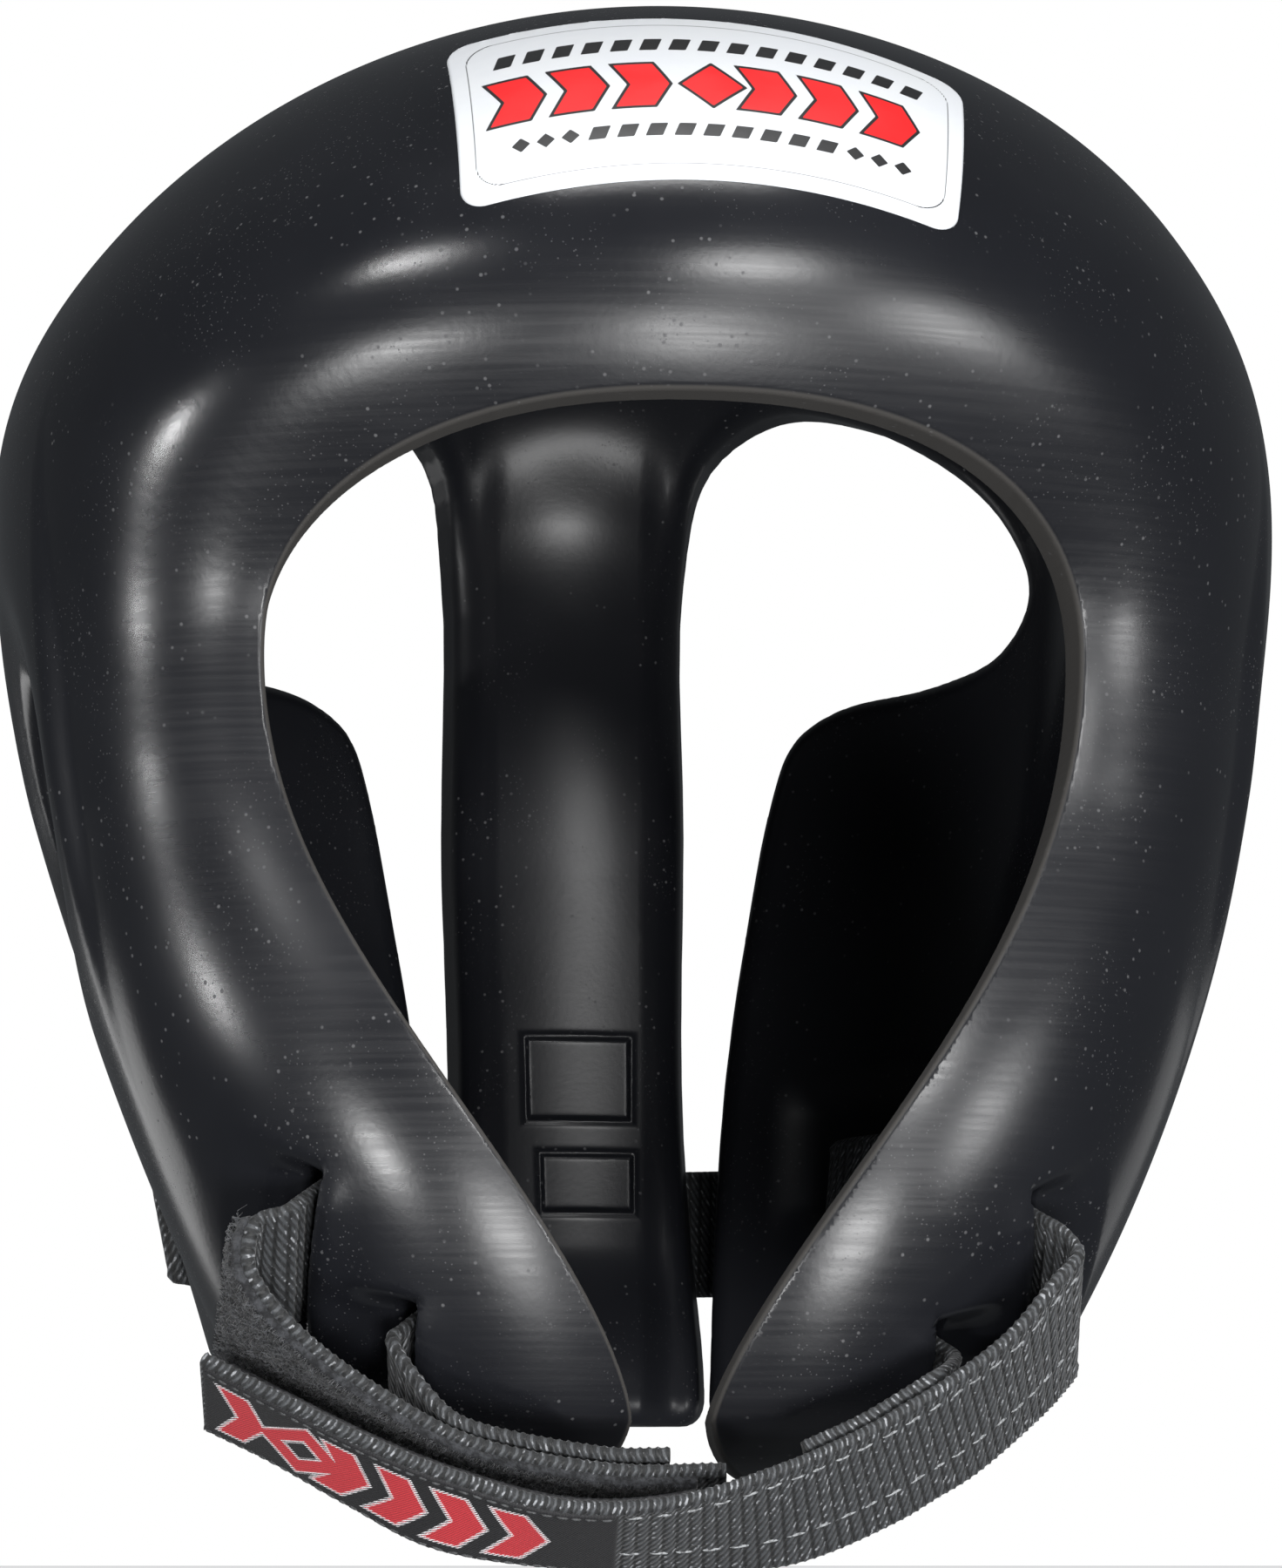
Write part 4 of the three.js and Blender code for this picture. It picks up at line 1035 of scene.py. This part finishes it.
def slab(name, top, bottom, numbers):
    """A closed thin piece between two grids of points, with numbers kept for its material."""
    rows, columns = top.shape[:2]
    count = rows * columns
    faces = grid_faces(rows, columns, 0, False) + grid_faces(rows, columns, count, True)
    ring = [(0, j) for j in range(columns)]
    ring += [(i, columns - 1) for i in range(1, rows)]
    ring += [(rows - 1, j) for j in range(columns - 2, -1, -1)]
    ring += [(i, 0) for i in range(rows - 2, 0, -1)]
    ring = [i * columns + j for i, j in ring]
    for a, b in zip(ring, ring[1:] + ring[:1]):
        faces.append((b, a, count + a, count + b))
    points = np.vstack([top.reshape(-1, 3), bottom.reshape(-1, 3)])
    obj = new_mesh(name, points, faces)
    for key, values in numbers.items():
        store(obj.data, key, np.tile(values.ravel(), 2))
    face_outwards(obj)
    return obj


def face_outwards(obj):
    """Turn every face of a closed piece to the outside."""
    built = bmesh.new()
    built.from_mesh(obj.data)
    bmesh.ops.recalc_face_normals(built, faces=built.faces)
    built.to_mesh(obj.data)
    built.free()


def webbing_profile(across_step):
    """Across and side (+1 outer face, -1 inner face) of the points round a webbing's section."""
    count = int(WEBBING_WIDTH / across_step)
    across = np.linspace(-0.5, 0.5, count) * WEBBING_WIDTH
    outer = [(a, 1.0) for a in across]
    inner = [(a, -1.0) for a in across[::-1]]
    return np.array(outer + inner)


def webbing(name, strap, along_step, across_step):
    """The woven band itself: ribs across it and a twisted selvage along both edges."""
    profile = webbing_profile(across_step)
    runs = np.linspace(0, strap.length, int(strap.length / along_step))
    run = runs[:, None]
    across = profile[None, :, 0]
    side = profile[None, :, 1]
    inset = WEBBING_WIDTH / 2 - np.abs(across)
    rounding = quarter_round(inset, SELVAGE, 0.12)
    rib = np.abs(np.sin(math.pi * (run / WEBBING_RIB + 0.05 * np.sin(across * 1.7)))) ** 0.7 - 0.55
    twist = 0.5 * np.cos(2 * math.pi * (run / SELVAGE_TWIST + side * across / 5)) + 0.35
    at_edge = smooth(SELVAGE + 0.6, SELVAGE - 0.3, inset)
    relief = WEBBING_RELIEF * mix(rib, twist, at_edge)
    lift = side * (WEBBING_THICKNESS / 2 * (1 + 0.25 * at_edge) * rounding + relief * rounding)
    points = strap.place(run, across, lift)
    rows, columns = points.shape[:2]
    faces = grid_faces(rows, columns, 0, False)
    for i in range(rows - 1):
        a, b = i * columns + columns - 1, i * columns
        faces.append((a, b, b + columns, a + columns))
    half = columns // 2
    for row in (0, rows - 1):
        start = row * columns
        for j in range(half - 1):
            faces.append((start + j, start + j + 1, start + columns - 2 - j, start + columns - 1 - j))
    obj = new_mesh(name, points.reshape(-1, 3), faces)
    store(obj.data, "run", np.broadcast_to(run, (rows, columns)).ravel())
    store(obj.data, "across", np.broadcast_to(across, (rows, columns)).ravel())
    face_outwards(obj)
    return obj


def tape(name, strap, start, end, face, thickness, relief, width=TAPE_WIDTH, step=TAPE_STEP, numbers=None):
    """A band of another material on one face of a webbing, with its own relief."""
    runs = np.linspace(start, end, max(int((end - start) / step), 4))
    acrosses = np.linspace(-0.5, 0.5, max(int(width / step), 4)) * width
    run, across = np.meshgrid(runs, acrosses, indexing="ij")
    edge = np.minimum(np.minimum(run - start, end - run), width / 2 - np.abs(across))
    rounding = quarter_round(edge, TAPE_EDGE, 0.0)
    base = WEBBING_THICKNESS / 2
    height = base + (thickness + relief(run, across)) * (0.35 + 0.65 * rounding)
    top = strap.place(run, across, face * height)
    bottom = strap.place(run, across, face * (base - TAPE_BURIED))
    kept = {"run": run, "across": across}
    for key, values in (numbers or {}).items():
        kept[key] = values(run, across)
    return slab(name, top, bottom, kept)


def stitch(strap, run, across, length, face, height):
    """The points of one round-ended run of thread, a little askew."""
    reach = length * random.uniform(0.8, 1.1)
    wander = random.uniform(-0.25, 0.25)
    rings = np.linspace(0, 1, STITCH_RINGS)[:, None]
    swell = np.sqrt(np.maximum(1 - (2 * rings - 1) ** 4, 0.03))
    turn = np.linspace(0, math.pi, STITCH_SIDES)
    sideways = across + wander * (rings - 0.5) + THREAD / 2 * swell * np.cos(turn)
    lift = height + THREAD * 0.6 * swell * np.sin(turn)
    return strap.place(run + reach * rings, sideways, face * lift).reshape(-1, 3), reach


def threads(name, strap, lines, face, height):
    """Stitches along a strap: each line has a start, an end, a place across, a length and a gap."""
    points, faces = [], []
    for start, end, across, length, gap in lines:
        run = start
        while run < end:
            placed, reach = stitch(strap, run, across, length, face, height)
            first = len(points) * STITCH_RINGS * STITCH_SIDES
            faces += grid_faces(STITCH_RINGS, STITCH_SIDES, first, False)
            points.append(placed)
            run += reach + gap * random.uniform(0.7, 1.3)
    return new_mesh(name, np.vstack(points), faces)


def fibres(name, strap, start, end, face, height):
    """Loose fibres of a fuzzy tape, each a thin curved blade, more of them along its edges."""
    points, faces = [], []
    for i in range(FIBRE_COUNT):
        run = random.uniform(start, end)
        across = random.uniform(-0.5, 0.5) * TAPE_WIDTH
        if i % 4 == 0:
            across = random.choice((-0.5, 0.5)) * TAPE_WIDTH * random.uniform(0.93, 1.0)
        heading = random.uniform(0, 2 * math.pi)
        bend = heading + random.uniform(-1.2, 1.2)
        tall = FIBRE_LENGTH * random.uniform(0.3, 1.0)
        reach = 0.6 * FIBRE_LENGTH * random.uniform(0.3, 1.0)
        middle = (run + reach * math.cos(heading), across + reach * math.sin(heading))
        tip = (middle[0] + reach * math.cos(bend), middle[1] + reach * math.sin(bend))
        path = [(run, across, height - 0.3), (*middle, height + 0.8 * tall), (*tip, height + 0.5 * tall)]
        for along, sideways, lift in path:
            points.append((along, sideways - FIBRE / 2, lift))
            points.append((along, sideways + FIBRE / 2, lift))
        a = 6 * i
        faces += [(a, a + 1, a + 3, a + 2), (a + 2, a + 3, a + 5, a + 4)]
    places = np.array(points)
    placed = strap.place(places[:, 0], places[:, 1], face * places[:, 2])
    return new_mesh(name, placed, faces)


def bend_at_hinge(obj, name):
    """A piece that crosses a strap's hinge only has its transform baked in; the hinge's place is worked out
    but not used.
    """
    strap = STRAPS[name]
    run = strap.at(HINGE_POINT[name])
    before, after = strap.place(np.array([run - 2.0, run + 2.0]), 0.0, 0.0)
    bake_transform(obj)


def pile_relief(run, across):
    wave = np.sin(run * 1.9 + 2 * np.sin(across * 1.3)) * np.sin(across * 2.3 + 1.5 * np.sin(run * 0.9))
    return 0.16 * wave + 0.1 * np.sin(run * 5.1 + across * 3.7)


def hook_relief(run, across):
    return 0.45 * (np.maximum(np.sin(run * 4.2) * np.sin(across * 4.2), 0) ** 2) - 0.35


def cloth_relief(run, across):
    return 0.03 * np.sin(run * 2 * math.pi / 1.1) * np.sin(across * 2 * math.pi / 0.9)


def finish(obj, material, slot, body, *replaced, bends=False):
    """Say what a piece is made of, which CAD nodes it stands for and, unless bends is set, which body it
    moves with; with bends its transform is only baked in.
    """
    obj.data.materials.append(material)
    if bends:
        bend_at_hinge(obj, body)
    else:
        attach(obj, body)
    if replaced:
        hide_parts(*replaced)


def build_webbings():
    for name, strap in STRAPS.items():
        steps = CHIN_STEPS if name.startswith("chin") else REAR_STEPS
        band = webbing(name + "_webbing_cloth", strap, *steps)
        nodes = [name + end for end in ("_loop", "_webbing", "_leg")]
        finish(band, webbing_material(), "webbing", name, *nodes, bends=True)


def build_chin_right():
    """Hooks under the outer chin strap, its woven tab and its sewn lines."""
    strap = STRAPS["chin_right"]
    hook = tape("chin_right_hooks", strap, strap.at(6.75), strap.at(11.75), -1, HOOK_THICKNESS, hook_relief)
    finish(hook, hook_material(), "hook_tape", "chin_right", "chin_right_hook_tape")
    start, end = strap.at(7.5), strap.at(12) - 0.6
    mark = functools.partial(tab_mark, start, end)
    tab = tape("chin_right_tab", strap, start, end, 1, TAB_THICKNESS, cloth_relief, TAB_WIDTH,
               TAPE_STEP * 0.75, {"mark": mark})
    finish(tab, tab_material(), "woven_label", "chin_right", "chin_right_tab_label")
    height = WEBBING_THICKNESS / 2
    stitches = ((3.3, 1.3), (3.0, 1.6))
    lines = [(strap.at(0.3), strap.at(7.3), a, *s) for a, s in zip(CHIN_SEAMS, stitches)]
    seam = threads("chin_right_seam", strap, lines, 1, height)
    finish(seam, thread_material("seam_thread", SEAM_COLOUR), "webbing", "chin_right", bends=True)
    lines = [(start + 1, end - 1, a, 1.7, 0.7) for a in TAB_SEAMS]
    hem = threads("chin_right_tab_seam", strap, lines, 1, height + TAB_THICKNESS)
    finish(hem, thread_material("tab_thread", DARK_THREAD), "woven_label", "chin_right")


def build_chin_left():
    """The fuzzy pile tape on the inner chin strap, which reaches over its fold."""
    strap = STRAPS["chin_left"]
    pile = tape("chin_left_pile", strap, strap.at(0.0), strap.at(6.75), 1, PILE_THICKNESS, pile_relief)
    nodes = ("chin_left_pile_tape", "chin_left_pile_tape_fixed")
    finish(pile, pile_material(), "pile_tape", "chin_left", *nodes, bends=True)
    height = WEBBING_THICKNESS / 2 + PILE_THICKNESS
    fuzz = fibres("chin_left_fuzz", strap, strap.at(0.1), strap.at(6.6), 1, height)
    finish(fuzz, fuzz_material(), "pile_tape", "chin_left", bends=True)


def build_rear():
    """Hooks and sewn lines of the outer rear strap, and the pile of the inner one."""
    strap = STRAPS["rear_right"]
    hook = tape("rear_right_hooks", strap, strap.at(6), strap.at(7.5), -1, HOOK_THICKNESS, hook_relief)
    finish(hook, hook_material(), "hook_tape", "rear_right", "rear_right_hook_tape")
    lines = [(strap.at(5.8), strap.at(7.9), a, 2.6, 1.0) for a in REAR_SEAMS]
    seam = threads("rear_right_seam", strap, lines, 1, WEBBING_THICKNESS / 2)
    finish(seam, thread_material("rear_thread", DARK_THREAD), "webbing", "rear_right")

    strap = STRAPS["rear_left"]
    pile = tape("rear_left_pile", strap, strap.at(4.3), strap.at(6.75), 1, PILE_THICKNESS, pile_relief)
    finish(pile, pile_material(), "pile_tape", "rear_left", "rear_left_pile_tape")


# ---------- floor, backdrop, light and camera ----------
def plain(name, colour, roughness, own_light):
    material = bpy.data.materials.new(name)
    material.use_nodes = True
    shader = material.node_tree.nodes["Principled BSDF"]
    shader.inputs["Base Color"].default_value = (*colour, 1)
    shader.inputs["Roughness"].default_value = roughness
    shader.inputs["Emission Color"].default_value = (*colour, 1)
    shader.inputs["Emission Strength"].default_value = own_light
    return material


def glow(name, colour, strength):
    material = bpy.data.materials.new(name)
    material.use_nodes = True
    tree = material.node_tree
    tree.nodes.remove(tree.nodes["Principled BSDF"])
    emission = tree.nodes.new("ShaderNodeEmission")
    emission.inputs["Color"].default_value = (*colour, 1)
    emission.inputs["Strength"].default_value = strength
    tree.links.new(emission.outputs[0], tree.nodes["Material Output"].inputs["Surface"])
    return material


def direction(azimuth, elevation):
    """Unit vector towards an azimuth from the front and an elevation, in degrees."""
    a, e = math.radians(azimuth), math.radians(elevation)
    return Vector((math.sin(a) * math.cos(e), -math.cos(a) * math.cos(e), math.sin(e)))


def surroundings():
    """A pale floor and a white backdrop, neither of which shades or colours the object."""
    bpy.context.scene.view_settings.view_transform = "Standard"
    world = bpy.data.worlds.new("studio")
    bpy.context.scene.world = world
    world.use_nodes = True
    world.node_tree.nodes["Background"].inputs["Color"].default_value = SKY_COLOUR
    world.node_tree.nodes["Background"].inputs["Strength"].default_value = SKY_STRENGTH

    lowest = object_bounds()[0][2]
    bpy.ops.mesh.primitive_plane_add(size=FLOOR_SIZE, location=(0, 0, lowest - FLOOR_DROP))
    floor = bpy.context.object
    floor.name = "floor"
    floor.data.materials.append(plain("floor", FLOOR_COLOUR, FLOOR_ROUGHNESS, FLOOR_GLOW))
    bpy.ops.mesh.primitive_uv_sphere_add(radius=BACKDROP_RADIUS, segments=48, ring_count=24)
    backdrop = bpy.context.object
    backdrop.name = "backdrop"
    backdrop.data.materials.append(glow("backdrop", (1, 1, 1), 1.0))
    backdrop.visible_transmission = False
    for obj in (floor, backdrop):
        # the low lamps shine up through the floor
        obj.visible_shadow = False
        obj.visible_glossy = False
        obj.visible_diffuse = False


def lamps():
    for name, azimuth, elevation, distance, width, height, radiance in LAMPS:
        lamp = bpy.data.lights.new(name, "AREA")
        lamp.shape = "RECTANGLE"
        lamp.size = width
        lamp.size_y = height
        lamp.energy = radiance * math.pi * width * height
        place = direction(azimuth, elevation) * distance
        obj = linked(name, lamp)
        obj.location = place + LAMP_AIM
        obj.rotation_euler = (-place).to_track_quat("-Z", "Y").to_euler()


def camera():
    data = bpy.data.cameras.new("camera")
    data.sensor_fit = "HORIZONTAL"
    data.sensor_width = SENSOR_WIDTH
    data.lens = LENS
    data.clip_start = 0.05
    data.clip_end = 20.0
    obj = linked("camera", data)
    obj.location = CAMERA_CENTRE + direction(CAMERA_AZIMUTH, CAMERA_ELEVATION) * CAMERA_DISTANCE
    obj.rotation_euler = (CAMERA_AIM - obj.location).to_track_quat("-Z", "Y").to_euler()
    bpy.context.scene.camera = obj


random.seed(7)
STRAPS = {
    "chin_right": Strap("right", "chin", WALL_CHEEK, CHIN_RIGHT, CHIN_RIGHT_LEG, False),
    "chin_left": Strap("left", "chin", WALL_CHEEK, CHIN_LEFT, CHIN_LEFT_LEG, True),
    "rear_right": Strap("right", "rear", WALL_BACK, *rear_stations(1, REAR_OUTER, REAR_LEG), True),
    "rear_left": Strap("left", "rear", WALL_BACK, *rear_stations(-1, REAR_INNER, REAR_LEG), False),
}

shell = build_shell()
finish(shell, foam_material(), "foam", "shell", "guard_shell")
build_label()
build_webbings()
build_chin_right()
build_chin_left()
build_rear()

surroundings()
lamps()
camera()
